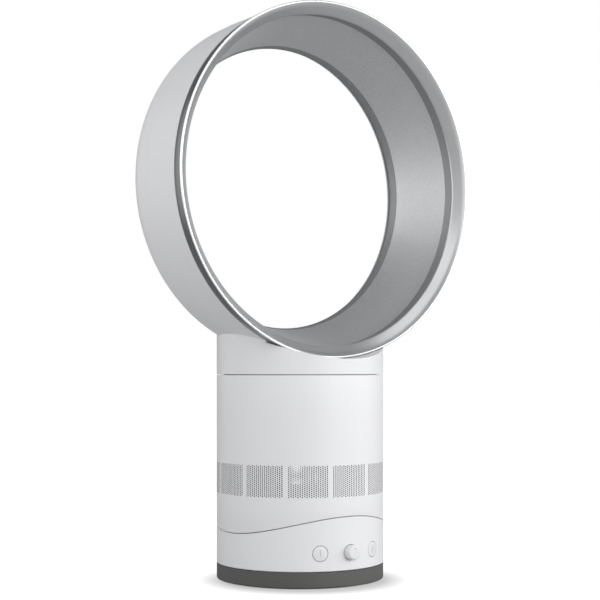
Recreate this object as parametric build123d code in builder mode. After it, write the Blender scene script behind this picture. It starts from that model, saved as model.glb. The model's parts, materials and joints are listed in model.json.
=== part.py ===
"""Bladeless desk fan: a ring nozzle on a cylindrical body that swings and tilts on its foot.

Frame: millimetres, +Z up, the fan blows towards -Y, +X is on the fan's left-hand side as seen by the fan.
The origin is the centre of the foot, on the surface that the fan stands on.
"""

import os
from math import acos, asin, atan2, cos, degrees, pi, radians, sin, tan

from build123d import *

os.makedirs("parts", exist_ok=True)

# ---------------------------------------------------------------- driving dimensions
BODY_R = 73.5  # outer radius of foot, base, body and neck
WALL = 2.5  # moulded wall
SEAM = 0.6  # open gap at each seam between casings

FOOT_TOP = 14.6  # top of the dark foot
SEAM_SIDE_Z = 44.3  # tilt seam at the left and right sides
SEAM_FRONT_Z = 60.3  # tilt seam at the front and back
NECK_SEAM_Z = 179.4  # seam between body and neck
RING_Z = 346.0  # axis of the ring nozzle
RING_R = 152.6  # largest radius of the ring, at its front lip

TILT_DEG = 10.0
TWIST_DEG = 26.0

INNER_R = BODY_R - WALL
TILT_RISE = SEAM_FRONT_Z - SEAM_SIDE_Z
TILT_R = (BODY_R**2 + TILT_RISE**2) / (2 * TILT_RISE)  # radius of the tilt surface
TILT_Z = SEAM_SIDE_Z + TILT_R  # height of the tilt axis, which runs along X
HALF = SEAM / 2
EPS = 0.05  # assembly clearance between fixed pieces

PANEL_COUNT = 12  # groups of inlet holes round the body
HOLE_COLUMNS, HOLE_ROWS = 6, 5
CONTROL_Z = 30.0
CONTROL_DEG = 22.0  # angle between neighbouring controls
BUTTON_R = 6.4
CONTROL_HOLE_R = 6.9


# ---------------------------------------------------------------- helpers
def save(builder, name):
    """Labels a finished piece and writes its STEP file."""
    builder.part.label = name
    export_step(builder.part, f"parts/{name}.step")


def tube(r_in, r_out, z_low, z_high, mode=Mode.ADD):
    """Adds a plain ring about Z to the current part; r_in 0 makes a disc."""
    with BuildSketch(Plane.XY.offset(z_low)) as section:
        Circle(r_out)
        if r_in:
            Circle(r_in, mode=Mode.SUBTRACT)
    extrude(section.sketch, amount=z_high - z_low, mode=mode)


def sector(r_in, r_out, centre_deg, half_deg, z_low, z_high, mode=Mode.ADD):
    """Adds a block between two radii and two angles about Z."""
    start, end = radians(centre_deg - half_deg), radians(centre_deg + half_deg)
    middle = radians(centre_deg)

    def at(r, angle):
        return (r * cos(angle), r * sin(angle))

    with BuildSketch(Plane.XY.offset(z_low)) as section:
        with BuildLine():
            outer = ThreePointArc(at(r_out, start), at(r_out, middle), at(r_out, end))
            side = Line(outer @ 1, at(r_in, end))
            inner = ThreePointArc(side @ 1, at(r_in, middle), at(r_in, start))
            Line(inner @ 1, outer @ 0)
        make_face()
    extrude(section.sketch, amount=z_high - z_low, mode=mode)


def turned(points, mode=Mode.ADD):
    """Adds the solid that a closed outline of (radius, z) points makes about Z."""
    with BuildSketch(Plane.XZ) as section:
        with BuildLine():
            Polyline(*points, close=True)
        make_face()
    revolve(section.sketch, axis=Axis.Z, mode=mode)


def cross_cylinder(radius, mode):
    """A cylinder along X about the tilt axis, wide enough to cross the whole body."""
    with BuildSketch(Plane.YZ) as section:
        with Locations((0, TILT_Z)):
            Circle(radius)
    extrude(section.sketch, amount=BODY_R + 5, both=True, mode=mode)


def curved_sheet(r_in, r_out, trim_r):
    """A sheet curved about the tilt axis and trimmed round to fit inside a casing."""
    with BuildSketch(Plane.YZ) as section:
        with Locations((0, TILT_Z)):
            Circle(r_out)
            Circle(r_in, mode=Mode.SUBTRACT)
    extrude(section.sketch, amount=BODY_R, both=True)
    with BuildSketch(Plane.XY.offset(SEAM_SIDE_Z - 10)) as trim:
        Circle(trim_r)
    extrude(trim.sketch, amount=40, mode=Mode.INTERSECT)


def curved_block(r_in, r_out, half_x, half_deg, mode=Mode.ADD):
    """A block curved about the tilt axis, centred below it."""
    start, end = radians(-90 - half_deg), radians(-90 + half_deg)

    def at(r, angle):
        return (r * cos(angle), TILT_Z + r * sin(angle))

    with BuildSketch(Plane.YZ) as section:
        with BuildLine():
            outer = ThreePointArc(at(r_out, start), at(r_out, -pi / 2), at(r_out, end))
            side = Line(outer @ 1, at(r_in, end))
            inner = ThreePointArc(side @ 1, at(r_in, -pi / 2), at(r_in, start))
            Line(inner @ 1, outer @ 0)
        make_face()
    extrude(section.sketch, amount=half_x, both=True, mode=mode)


def soften_tilt_seam(builder):
    """Rounds the outer edge that a casing has along the tilt seam."""

    def is_outer_wave(edge):
        point = edge @ 0.37
        return edge.bounding_box().size.Z > TILT_RISE * 0.9 and point.X**2 + point.Y**2 > (BODY_R - 0.1) ** 2

    fillet(builder.edges().filter_by(is_outer_wave), 0.4)


def around(radius, angles):
    """Points at one radius and several angles about Z."""
    return [(radius * cos(radians(a)), radius * sin(radians(a))) for a in angles]


def holes(points, radius, z_low, z_high):
    """Round holes along Z at (x, y) points."""
    with BuildSketch(Plane.XY.offset(z_low)) as section:
        with Locations(*points):
            Circle(radius)
    extrude(section.sketch, amount=z_high - z_low, mode=Mode.SUBTRACT)


def screws(points, seat_z, tip_z, shank_r, head_r, head_h):
    """Cross-head screws at (x, y) points: the head lies on seat_z and the shank runs to tip_z."""
    outward = 1 if seat_z > tip_z else -1
    with BuildSketch(Plane.XY.offset(tip_z)) as shank:
        with Locations(*points):
            Circle(shank_r)
    extrude(shank.sketch, amount=seat_z - tip_z)
    with BuildSketch(Plane.XY.offset(seat_z)) as head:
        with Locations(*points):
            Circle(head_r)
    extrude(head.sketch, amount=outward * head_h)
    with BuildSketch(Plane.XY.offset(seat_z + outward * head_h)) as cross:
        with Locations(*points):
            Rectangle(head_r * 1.2, head_r * 0.3)
            Rectangle(head_r * 0.3, head_r * 1.2)
    extrude(cross.sketch, amount=-outward * head_h * 0.6, mode=Mode.SUBTRACT)


def facing(front_deg, radius, height):
    """A plane that looks straight out of the round wall, at an angle from the front towards +X."""
    a = radians(front_deg)
    out = Vector(sin(a), -cos(a), 0)
    origin = out * radius + Vector(0, 0, height)
    return Plane(origin=origin, x_dir=(cos(a), sin(a), 0), z_dir=out)


def gear(teeth, pitch_r, thickness, base_z, centre, first_deg, backlash):
    """A spur gear with 20 degree involute flanks; a tooth is centred on first_deg."""
    module = 2 * pitch_r / teeth
    base_r = pitch_r * cos(radians(20))
    root_r = pitch_r - 1.25 * module
    tip_r = pitch_r + module

    def roll(r):
        """Involute function at radius r, zero at and below the base circle."""
        angle = acos(min(1.0, base_r / r))
        return tan(angle) - angle

    def flank(r):
        """Half of the tooth's angle at radius r."""
        return pi / (2 * teeth) + roll(pitch_r) - roll(r) - backlash / (2 * pitch_r)

    def at(r, angle):
        return (r * cos(angle), r * sin(angle))

    start_r = max(base_r, root_r)
    radii = [start_r + (tip_r - start_r) * step / 3 for step in range(4)]
    plane = Plane.XY.offset(base_z).shift_origin(Vector(*centre, base_z))
    with BuildSketch(plane) as section:
        Circle(root_r)
        with BuildSketch(mode=Mode.PRIVATE) as tooth:
            with BuildLine():
                left = Spline(*[at(r, flank(r)) for r in radii])
                right = Spline(*[at(r, -flank(r)) for r in radii])
                Line(left @ 1, right @ 1)
                foot_left = at(root_r - 0.4, flank(start_r))
                foot_right = at(root_r - 0.4, -flank(start_r))
                Polyline(left @ 0, foot_left, foot_right, right @ 0)
            make_face()
        for index in range(teeth):
            add(tooth.sketch, rotation=first_deg + index * 360 / teeth)
    extrude(section.sketch, amount=thickness)


# ================================================================ foot (stands still)
FLOOR_LOW, FLOOR_HIGH = 0.8, 3.6
FOOT_RIM_TOP = FOOT_TOP - HALF
TRACK_R = 62.0
PAD_R_IN, PAD_R_OUT = 61.0, 69.0
GLAND_Z = 7.7
GLAND_R, GLAND_FLANGE_R, CORD_BORE_R = 3.9, 5.0, 3.1
GLAND_FLAT_Y = BODY_R - 1.0

with BuildPart() as foot_plate:
    turned(
        [
            (0, FLOOR_LOW),
            (BODY_R - 1.2, FLOOR_LOW),
            (BODY_R - 0.35, FLOOR_LOW + 0.35),
            (BODY_R, FLOOR_LOW + 1.2),
            (BODY_R, FOOT_RIM_TOP - 0.4),
            (BODY_R - 0.4, FOOT_RIM_TOP),
            (TRACK_R, FOOT_RIM_TOP),
            (TRACK_R, FOOT_RIM_TOP - 2.5),
            (BODY_R - 3, FOOT_RIM_TOP - 2.5),
            (BODY_R - 3, FLOOR_HIGH),
            (0, FLOOR_HIGH),
        ]
    )
    tube(PAD_R_IN - EPS, PAD_R_OUT + EPS, FLOOR_LOW, 2.0, mode=Mode.SUBTRACT)
    with Locations(Plane(origin=(0, GLAND_FLAT_Y, GLAND_Z), x_dir=(1, 0, 0), z_dir=(0, 1, 0))):
        Cylinder(GLAND_FLANGE_R + 0.1, 5, align=(Align.CENTER, Align.CENTER, Align.MIN), mode=Mode.SUBTRACT)
        Cylinder(GLAND_R + EPS, 12, mode=Mode.SUBTRACT)
    spindle_screw_points = around(17.5, (45, 135, 225, 315))
    holes(spindle_screw_points, 1.35, 1.5, FLOOR_HIGH)
save(foot_plate, "foot_plate")

with BuildPart() as foot_pad:
    tube(PAD_R_IN, PAD_R_OUT, 0, 2.0 - EPS)
    fillet(foot_pad.edges().filter_by(GeomType.CIRCLE).group_by(Axis.Z)[0], 0.4)
save(foot_pad, "foot_pad")

with BuildPart() as cord_gland:
    with Locations(Plane(origin=(0, GLAND_FLAT_Y, GLAND_Z), x_dir=(1, 0, 0), z_dir=(0, 1, 0))):
        Cylinder(GLAND_FLANGE_R, 2.2, align=(Align.CENTER, Align.CENTER, Align.MIN))
        Cylinder(GLAND_R, 4.5, align=(Align.CENTER, Align.CENTER, Align.MAX))
    fillet(cord_gland.edges().filter_by(GeomType.CIRCLE).sort_by(Axis.Y)[-1], 0.8)
    with Locations(Plane(origin=(0, GLAND_FLAT_Y, GLAND_Z), x_dir=(1, 0, 0), z_dir=(0, 1, 0))):
        Cylinder(CORD_BORE_R, 20, mode=Mode.SUBTRACT)
save(cord_gland, "cord_gland")

SLIDE_TOP = FOOT_TOP + HALF
with BuildPart() as slide_ring:
    tube(TRACK_R + 1, INNER_R - 1, FOOT_RIM_TOP, SLIDE_TOP)
save(slide_ring, "slide_ring")

SPINDLE_R, SPINDLE_BORE_R, SPINDLE_FLANGE_R = 14.0, 10.0, 21.0
SPINDLE_TOP = 20.5
with BuildPart() as pivot_spindle:
    tube(SPINDLE_BORE_R, SPINDLE_FLANGE_R, FLOOR_HIGH, 6.1)
    tube(SPINDLE_BORE_R, SPINDLE_R, 6.1, SPINDLE_TOP)
    holes(spindle_screw_points, 1.35, FLOOR_HIGH, 6.1)
    retainer_screw_points = around(12.0, (90, 210, 330))
    holes(retainer_screw_points, 0.9, SPINDLE_TOP - 6, SPINDLE_TOP)
save(pivot_spindle, "pivot_spindle")

with BuildPart() as spindle_screws:
    screws(spindle_screw_points, seat_z=6.1, tip_z=1.6, shank_r=1.25, head_r=2.4, head_h=1.7)
save(spindle_screws, "spindle_screws")

SUN_TEETH, PINION_TEETH = 52, 20
SUN_R, PINION_R = 26.0, 10.0
PINION_Y = SUN_R + PINION_R
with BuildPart() as sun_gear:
    gear(SUN_TEETH, SUN_R, 6.0, FLOOR_HIGH, (0, 0), first_deg=90, backlash=0.3)
    tube(0, SPINDLE_FLANGE_R + 0.1, FLOOR_HIGH, 10, mode=Mode.SUBTRACT)
save(sun_gear, "sun_gear")

with BuildPart() as retaining_washer:
    tube(SPINDLE_BORE_R, 19.0, SPINDLE_TOP, SPINDLE_TOP + 1.5)
    holes(retainer_screw_points, 1.0, SPINDLE_TOP, SPINDLE_TOP + 1.5)
save(retaining_washer, "retaining_washer")

with BuildPart() as retainer_screws:
    screws(retainer_screw_points, SPINDLE_TOP + 1.5, SPINDLE_TOP - 5.5, 0.85, 1.7, 1.2)
save(retainer_screws, "retainer_screws")

# ================================================================ control base (swings on the foot)
BASE_LOW = SLIDE_TOP
BASE_FLOOR_LOW, BASE_FLOOR_HIGH = 15.2, 18.2
TAB_ANGLES = (30, 150, 210, 330)
TAB_R = 62.0
CRADLE_IN, CRADLE_OUT = TILT_R + HALF, TILT_R + HALF + 3.0
CRADLE_TAB_Z = (33.4, 35.9)
FLOOR_BOSS_ANGLES = (46, 134, 226, 314)
FLOOR_BOSS_R = 66.0
floor_screw_points = around(FLOOR_BOSS_R, FLOOR_BOSS_ANGLES)
tab_points = around(TAB_R, TAB_ANGLES)

with BuildPart() as base_casing:
    tube(INNER_R, BODY_R, BASE_LOW, SEAM_FRONT_Z + 5)
    cross_cylinder(TILT_R + HALF, Mode.SUBTRACT)
    soften_tilt_seam(base_casing)
    chamfer(base_casing.edges().filter_by(GeomType.CIRCLE).group_by(SortBy.RADIUS)[-1], 0.35)
    for angle in TAB_ANGLES:
        sector(TAB_R - 5, INNER_R + 0.5, angle, 5, *CRADLE_TAB_Z)
    for angle in FLOOR_BOSS_ANGLES:
        sector(FLOOR_BOSS_R - 4, INNER_R + 0.5, angle, 4, BASE_FLOOR_HIGH, 27)
    holes(tab_points, 1.4, 33, 36)
    holes(floor_screw_points, 1.3, BASE_FLOOR_HIGH, 26)
    for step in (-1, 0, 1):
        with Locations(facing(step * CONTROL_DEG, BODY_R, CONTROL_Z)):
            Cylinder(CONTROL_HOLE_R, 12, mode=Mode.SUBTRACT)
save(base_casing, "base_casing")

PCB_POSTS = [(x, y) for x in (-26, 26) for y in (-46, -27)]
OSC_MOTOR_R = 16.0
OSC_SCREW_POINTS = [(-20.5, PINION_Y), (20.5, PINION_Y)]
CARRIER_IN, CARRIER_OUT = 60.0, 62.0
with BuildPart() as base_floor:
    tube(16.0, INNER_R - EPS * 2, BASE_FLOOR_LOW, BASE_FLOOR_HIGH)
    with BuildSketch(Plane.XY.offset(BASE_FLOOR_HIGH)):
        with Locations(*PCB_POSTS):
            Circle(3)
    extrude(amount=3.8)
    holes(PCB_POSTS, 0.9, BASE_FLOOR_HIGH - 1, BASE_FLOOR_HIGH + 4)
    holes([(0, PINION_Y)], 4.0, BASE_FLOOR_LOW, BASE_FLOOR_HIGH)
    holes(OSC_SCREW_POINTS, 1.1, BASE_FLOOR_LOW + 0.5, BASE_FLOOR_HIGH)
    holes(floor_screw_points, 1.4, BASE_FLOOR_LOW, BASE_FLOOR_HIGH)
    holes(floor_screw_points, 2.8, BASE_FLOOR_LOW, BASE_FLOOR_LOW + 1.7)
save(base_floor, "base_floor")

with BuildPart() as floor_screws:
    screws(floor_screw_points, BASE_FLOOR_LOW + 1.7, 25, 1.25, 2.6, 1.5)
save(floor_screws, "floor_screws")

with BuildPart() as pivot_bush:
    tube(SPINDLE_R + 0.05, 15.95, BASE_FLOOR_LOW, BASE_FLOOR_HIGH)
    tube(SPINDLE_R + 0.05, 18.5, BASE_FLOOR_HIGH, BASE_FLOOR_HIGH + 2)
save(pivot_bush, "pivot_bush")

SHOE_HALF_X, SHOE_HALF_DEG = 15.5, 4.0
SLOT_HALF_DEG = SHOE_HALF_DEG + TILT_DEG + 0.3
with BuildPart() as cradle_plate:
    curved_sheet(CRADLE_IN, CRADLE_OUT, INNER_R - EPS * 2)
    with BuildSketch(Plane.XY.offset(CRADLE_TAB_Z[1] + EPS)):
        with Locations(*tab_points):
            Circle(4)
    extrude(amount=8.5)
    curved_block(CRADLE_IN - 1, CRADLE_OUT + 1, SHOE_HALF_X + 0.5, SLOT_HALF_DEG, mode=Mode.SUBTRACT)
    holes(tab_points, 1.2, CRADLE_TAB_Z[1], CRADLE_TAB_Z[1] + 7)
save(cradle_plate, "cradle_plate")

with BuildPart() as cradle_screws:
    screws(tab_points, CRADLE_TAB_Z[0], CRADLE_TAB_Z[1] + 6, 1.15, 2.4, 1.8)
save(cradle_screws, "cradle_screws")

PCB_Z = BASE_FLOOR_HIGH + 3.8
with BuildPart() as control_board:
    with BuildSketch(Plane.XY.offset(PCB_Z)):
        with Locations((0, -36.5)):
            RectangleRounded(60, 27, 2)
    extrude(amount=1.6)
    holes(PCB_POSTS, 1.1, PCB_Z, PCB_Z + 1.6)
save(control_board, "control_board")

BOARD_TOP = PCB_Z + 1.6
with BuildPart() as board_components:
    with BuildSketch(Plane.XY.offset(BOARD_TOP)):
        with Locations((-6, -38)):
            Rectangle(9, 9)
        with Locations((8, -31), (8, -43)):
            Rectangle(6, 4)
    extrude(amount=1.2)
    with BuildSketch(Plane.XY.offset(BOARD_TOP)):
        with Locations((-18, -38), (18, -34)):
            Circle(4)
    extrude(amount=8)
    with BuildSketch(Plane.XY.offset(BOARD_TOP)):
        with Locations((0, -27)):
            Rectangle(14, 5)
    extrude(amount=6)
save(board_components, "board_components")

with BuildPart() as board_screws:
    screws(PCB_POSTS, BOARD_TOP, PCB_Z - 3.6, 0.85, 1.8, 1.2)
save(board_screws, "board_screws")

with BuildPart() as switch_carrier:
    sector(CARRIER_IN, CARRIER_OUT, -90, 38, 24.2, 38)
    for angle in (-90 - 35, -90 + 35):
        sector(CARRIER_IN, CARRIER_OUT, angle, 3, BASE_FLOOR_HIGH, 24.2)
        sector(CARRIER_IN - 3, CARRIER_OUT + 3, angle, 3, BASE_FLOOR_HIGH, BASE_FLOOR_HIGH + 2)
    with Locations(facing(0, CARRIER_OUT, CONTROL_Z)):
        Cylinder(3.3, 10, mode=Mode.SUBTRACT)
save(switch_carrier, "switch_carrier")

SWITCH_TIP_R = 63.6
with BuildPart() as tact_switches:
    for step in (-1, 1):
        with Locations(facing(step * CONTROL_DEG, CARRIER_OUT + EPS, CONTROL_Z)):
            Box(6, 6, 1.0, align=(Align.CENTER, Align.CENTER, Align.MIN))
            Cylinder(1.6, SWITCH_TIP_R - CARRIER_OUT - EPS, align=(Align.CENTER, Align.CENTER, Align.MIN))
save(tact_switches, "tact_switches")

DIAL_SHAFT_R = 3.0
with BuildPart() as dial_encoder:
    with Locations(facing(0, CARRIER_IN - 0.3, CONTROL_Z)):
        Box(12, 12, 6.5, align=(Align.CENTER, Align.CENTER, Align.MAX))
        Cylinder(DIAL_SHAFT_R + 0.05, 8, mode=Mode.SUBTRACT)
save(dial_encoder, "dial_encoder")

with BuildPart() as swing_motor:
    tube(0, OSC_MOTOR_R, BASE_FLOOR_HIGH, 35.2)
    fillet(swing_motor.edges().filter_by(GeomType.CIRCLE).sort_by(Axis.Z)[-1], 1.2)
    with BuildSketch(Plane.XY.offset(BASE_FLOOR_HIGH)):
        SlotOverall(48, 7)
    extrude(amount=2)
    holes([(-20.5, 0), (20.5, 0)], 1.2, BASE_FLOOR_HIGH, BASE_FLOOR_HIGH + 2)
    holes([(0, 0)], 2.55, BASE_FLOOR_HIGH, BASE_FLOOR_HIGH + 8)
    swing_motor.part = swing_motor.part.moved(Location((0, PINION_Y, 0)))
save(swing_motor, "swing_motor")

with BuildPart() as swing_motor_screws:
    screws(OSC_SCREW_POINTS, BASE_FLOOR_HIGH + 2, BASE_FLOOR_LOW + 0.7, 1.05, 2.1, 1.4)
save(swing_motor_screws, "swing_motor_screws")

# ---------------------------------------------------------------- swing pinion
with BuildPart() as swing_pinion:
    gear(PINION_TEETH, PINION_R, 5.0, 4.2, (0, PINION_Y), first_deg=9, backlash=0.3)
    with BuildSketch(Plane.XY.offset(4.2)):
        with Locations((0, PINION_Y)):
            Circle(2.5)
    extrude(amount=BASE_FLOOR_HIGH + 7 - 4.2)
save(swing_pinion, "swing_pinion")


# ---------------------------------------------------------------- buttons and dial
def button_blank(front_deg):
    """The push button before its mark is cut: cap, retaining flange and stem."""
    with Locations(facing(front_deg, 69.0, CONTROL_Z)):
        Cylinder(BUTTON_R, 8, align=(Align.CENTER, Align.CENTER, Align.MIN))
    tube(0, BODY_R + 0.1, CONTROL_Z - 10, CONTROL_Z + 10, mode=Mode.INTERSECT)
    with Locations(facing(front_deg, 68.4, CONTROL_Z)):
        Cylinder(8.2, 1.7, align=(Align.CENTER, Align.CENTER, Align.MIN))
    with Locations(facing(front_deg, 65.0, CONTROL_Z)):
        Cylinder(3.0, 4, align=(Align.CENTER, Align.CENTER, Align.MIN))


def cut_mark(front_deg, shapes):
    """Engraves rectangles (x, y, width, height, turn) in a button's face."""
    with BuildSketch(facing(front_deg, BODY_R + 1, CONTROL_Z)) as mark:
        for x, y, width, height, turn in shapes:
            with Locations(Location((x, y), turn)):
                Rectangle(width, height)
    extrude(mark.sketch, amount=-1.5, mode=Mode.SUBTRACT)


with BuildPart() as power_button:
    button_blank(-CONTROL_DEG)
    cut_mark(-CONTROL_DEG, [(0, 0, 0.6, 6.2, 0)])
save(power_button, "power_button")

with BuildPart() as swing_button:
    button_blank(CONTROL_DEG)
    cut_mark(CONTROL_DEG, [(-2.2, 0, 0.6, 3.2, 0), (0, 0, 0.6, 6.2, 0), (2.2, 0, 0.6, 3.2, 0)])
save(swing_button, "swing_button")

DIAL_FACE_R = 80.0
with BuildPart() as speed_dial:
    with Locations(facing(0, 69.0, CONTROL_Z)):
        Cylinder(BUTTON_R, DIAL_FACE_R - 69.0, align=(Align.CENTER, Align.CENTER, Align.MIN))
    fillet(speed_dial.edges().filter_by(GeomType.CIRCLE).sort_by(Axis.Y)[0], 2.2)
    with Locations(facing(0, 68.4, CONTROL_Z)):
        Cylinder(8.0, 1.7, align=(Align.CENTER, Align.CENTER, Align.MIN))
    with Locations(facing(0, 56.0, CONTROL_Z)):
        Cylinder(DIAL_SHAFT_R, 13, align=(Align.CENTER, Align.CENTER, Align.MIN))
    with BuildSketch(facing(0, DIAL_FACE_R, CONTROL_Z)):
        with Locations((0, 3.4)):
            Circle(0.7)
    extrude(amount=-0.5, mode=Mode.SUBTRACT)
save(speed_dial, "speed_dial")

# ================================================================ main body (tilts on the control base)
BODY_TOP = NECK_SEAM_Z - HALF
INLET_Z = 90.0  # middle of the inlet band
HOLE_R, HOLE_STEP_Z, HOLE_STEP_DEG = 1.63, 5.2, 4.5
ROCKER_IN, ROCKER_OUT = TILT_R - HALF - 3.0, TILT_R - HALF
ROCKER_TAB_Z = (58.2, 60.7)
POST_ANGLES = (90, 210, 330)
POST_R = 66.5
post_points = around(POST_R, POST_ANGLES)

with BuildPart() as body_casing:
    tube(INNER_R, BODY_R, SEAM_SIDE_Z - 2, BODY_TOP)
    top_edges = body_casing.edges().filter_by(GeomType.CIRCLE).group_by(Axis.Z)[-1]
    fillet(top_edges.sort_by(SortBy.RADIUS)[-1], 0.5)
    cross_cylinder(TILT_R - HALF, Mode.INTERSECT)
    soften_tilt_seam(body_casing)
    with BuildPart(mode=Mode.PRIVATE) as drills:
        for column in range(HOLE_COLUMNS):
            turn = (column - (HOLE_COLUMNS - 1) / 2) * HOLE_STEP_DEG
            for row in range(HOLE_ROWS):
                height = INLET_Z + (row - (HOLE_ROWS - 1) / 2) * HOLE_STEP_Z
                with Locations(facing(turn, BODY_R, height)):
                    Cylinder(HOLE_R, 8)
    for index in range(PANEL_COUNT):
        add(drills.part, rotation=(0, 0, index * 360 / PANEL_COUNT), mode=Mode.SUBTRACT)
    for angle in TAB_ANGLES:
        sector(TAB_R - 5, INNER_R + 0.5, angle, 5, *ROCKER_TAB_Z)
    for angle in POST_ANGLES:
        sector(POST_R - 4, INNER_R + 0.5, angle, 4, 106.5, 116)
    holes(tab_points, 1.4, 58, 61)
    holes(post_points, 1.3, 106, 116)
save(body_casing, "body_casing")

with BuildPart() as rocker_plate:
    curved_sheet(ROCKER_IN, ROCKER_OUT, INNER_R - EPS * 2)
    with BuildSketch(Plane.XY.offset(ROCKER_TAB_Z[0] - EPS)):
        with Locations(*tab_points):
            Circle(4)
    extrude(amount=-9)
    cross_cylinder(ROCKER_OUT, Mode.INTERSECT)
    shoe_screw_points = [(x, y) for x in (-10, 10) for y in (-7, 7)]
    holes(tab_points, 1.2, 52, 59)
    holes(shoe_screw_points, 1.2, 44, 47.0)
    holes([(0, 0)], 6, 40, 60)
save(rocker_plate, "rocker_plate")

with BuildPart() as rocker_screws:
    screws(tab_points, ROCKER_TAB_Z[1], 53, 1.15, 2.4, 1.8)
save(rocker_screws, "rocker_screws")

SHOE_FLANGE_IN, SHOE_FLANGE_OUT = CRADLE_OUT + 0.4, CRADLE_OUT + 3.4
with BuildPart() as tilt_shoe:
    curved_block(ROCKER_OUT + EPS, SHOE_FLANGE_IN + 1, SHOE_HALF_X, SHOE_HALF_DEG)
    curved_block(SHOE_FLANGE_IN, SHOE_FLANGE_OUT, 24, 7)
    holes([(0, 0)], 6, 30, 50)
    holes(shoe_screw_points, 1.3, 30, 50)
    holes(shoe_screw_points, 2.6, 30, 39.6)
save(tilt_shoe, "tilt_shoe")

with BuildPart() as shoe_screws:
    screws(shoe_screw_points, seat_z=39.6, tip_z=46.4, shank_r=1.15, head_r=2.4, head_h=1.6)
save(shoe_screws, "shoe_screws")

with BuildPart() as foam_disc:
    tube(14, 70.4, 64, 70)
save(foam_disc, "foam_disc")

SHROUD_THROAT_R, DUCT_R = 37.0, 60.0
SHROUD_LOW, SHROUD_TOP = 110.0, 167.0
with BuildPart() as impeller_housing:
    turned(
        [
            (SHROUD_THROAT_R, SHROUD_LOW),
            (58, 136),
            (DUCT_R, 141),
            (DUCT_R, SHROUD_TOP),
            (DUCT_R + 2.2, SHROUD_TOP),
            (DUCT_R + 2.2, 140),
            (60, 134.2),
            (SHROUD_THROAT_R + 2.4, SHROUD_LOW),
        ]
    )
    for angle in POST_ANGLES:
        sector(46.4, 70, angle, 4, 118.5, 121)
    holes(post_points, 1.6, 118, 122)
save(impeller_housing, "impeller_housing")

with BuildPart() as inlet_bellmouth:
    turned(
        [
            (SHROUD_THROAT_R, SHROUD_LOW - EPS),
            (SHROUD_THROAT_R + 0.8, 107.4),
            (SHROUD_THROAT_R + 3.2, 105.0),
            (SHROUD_THROAT_R + 7.0, 103.8),
            (69.5, 103.8),
            (69.5, 105.6),
            (SHROUD_THROAT_R + 7.4, 105.6),
            (SHROUD_THROAT_R + 4.6, 106.6),
            (SHROUD_THROAT_R + 2.8, 108.4),
            (SHROUD_THROAT_R + 2.4, SHROUD_LOW - EPS),
        ]
    )
save(inlet_bellmouth, "inlet_bellmouth")

with BuildPart() as isolators:
    for x, y in post_points:
        with Locations((x, y, 116)):
            Cylinder(3.6, 2.5 - EPS, align=(Align.CENTER, Align.CENTER, Align.MIN))
            Cylinder(1.6, 10, mode=Mode.SUBTRACT)
save(isolators, "isolators")

with BuildPart() as housing_screws:
    screws(post_points, seat_z=121, tip_z=107, shank_r=1.25, head_r=2.8, head_h=2)
save(housing_screws, "housing_screws")

with BuildPart() as foam_sleeve:
    tube(DUCT_R + 2.5, 70.6, 126, 158)
save(foam_sleeve, "foam_sleeve")

with BuildPart() as housing_seal:
    tube(DUCT_R + 2.25, INNER_R - EPS, 160.5, 163.5)
save(housing_seal, "housing_seal")

# ---------------------------------------------------------------- motor, in its bucket
BUCKET_R = 36.0
SHAFT_R = 4.0
BEARING_R = 11.0
BEARING_Z = ((139.5, 144.5), (163.5, 168.5))
BUCKET_SPLIT_Z = 146.0

with BuildPart() as motor_bucket_lower:
    turned(
        [
            (12.5, 138.5),
            (BUCKET_R - 1, 138.5),
            (BUCKET_R, 139.5),
            (BUCKET_R, BUCKET_SPLIT_Z),
            (BUCKET_R - 2, BUCKET_SPLIT_Z),
            (BUCKET_R - 2, 141),
            (13.5, 141),
            (13.5, 144.7),
            (BEARING_R + EPS, 144.7),
            (BEARING_R + EPS, 139.5),
            (9, 139.5),
            (9, 138.5),
        ]
    )
save(motor_bucket_lower, "motor_bucket_lower")

VANE_COUNT = 11
with BuildPart() as motor_bucket_upper:
    with BuildSketch(Plane.XY.offset(BUCKET_SPLIT_Z + 1)):
        for index in range(VANE_COUNT):
            with BuildLine(Plane.XY.rotated((0, 0, index * 360 / VANE_COUNT))):
                arc = ThreePointArc((BUCKET_R - 0.5, 0), (47, 3.5), (57.2, 12))
                offset(arc, amount=0.7)
            make_face()
    extrude(amount=16)
    tube(DUCT_R - 1.6, DUCT_R - 0.1, 145, 164)
    turned(
        [
            (BUCKET_R, BUCKET_SPLIT_Z + EPS),
            (BUCKET_R, 165),
            (31, 171.5),
            (22, 175.2),
            (0, 176.8),
            (0, 174.8),
            (21, 173.2),
            (29.6, 169.8),
            (BUCKET_R - 2, 164),
            (BUCKET_R - 2, BUCKET_SPLIT_Z + EPS),
        ]
    )
    tube(BEARING_R + EPS, 13.5, 163.5, 174)
save(motor_bucket_upper, "motor_bucket_upper")

STATOR_LOW, STATOR_HIGH = 147.0, 159.0
SLOT_COUNT = 6
slot_angles = [index * 360 / SLOT_COUNT for index in range(SLOT_COUNT)]
with BuildPart() as stator_core:
    tube(28, BUCKET_R - 2 - EPS, STATOR_LOW, STATOR_HIGH)
    for angle in slot_angles:
        sector(17, 29, angle, 6, STATOR_LOW, STATOR_HIGH)
        sector(14.4, 17.2, angle, 24, STATOR_LOW, STATOR_HIGH)
save(stator_core, "stator_core")

with BuildPart() as stator_windings:
    for angle in slot_angles:
        sector(18, 27, angle, 13, STATOR_LOW - 2.5, STATOR_HIGH + 2.5)
        sector(17.9, 27.1, angle, 6.2, STATOR_LOW - 0.1, STATOR_HIGH + 0.1, mode=Mode.SUBTRACT)
save(stator_windings, "stator_windings")

with BuildPart() as shaft_bearings:
    for z_low, z_high in BEARING_Z:
        tube(SHAFT_R + 0.03, 6, z_low, z_high)
        tube(6, 9, z_low + 0.7, z_high - 0.7)
        tube(9, BEARING_R, z_low, z_high)
save(shaft_bearings, "shaft_bearings")

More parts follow.
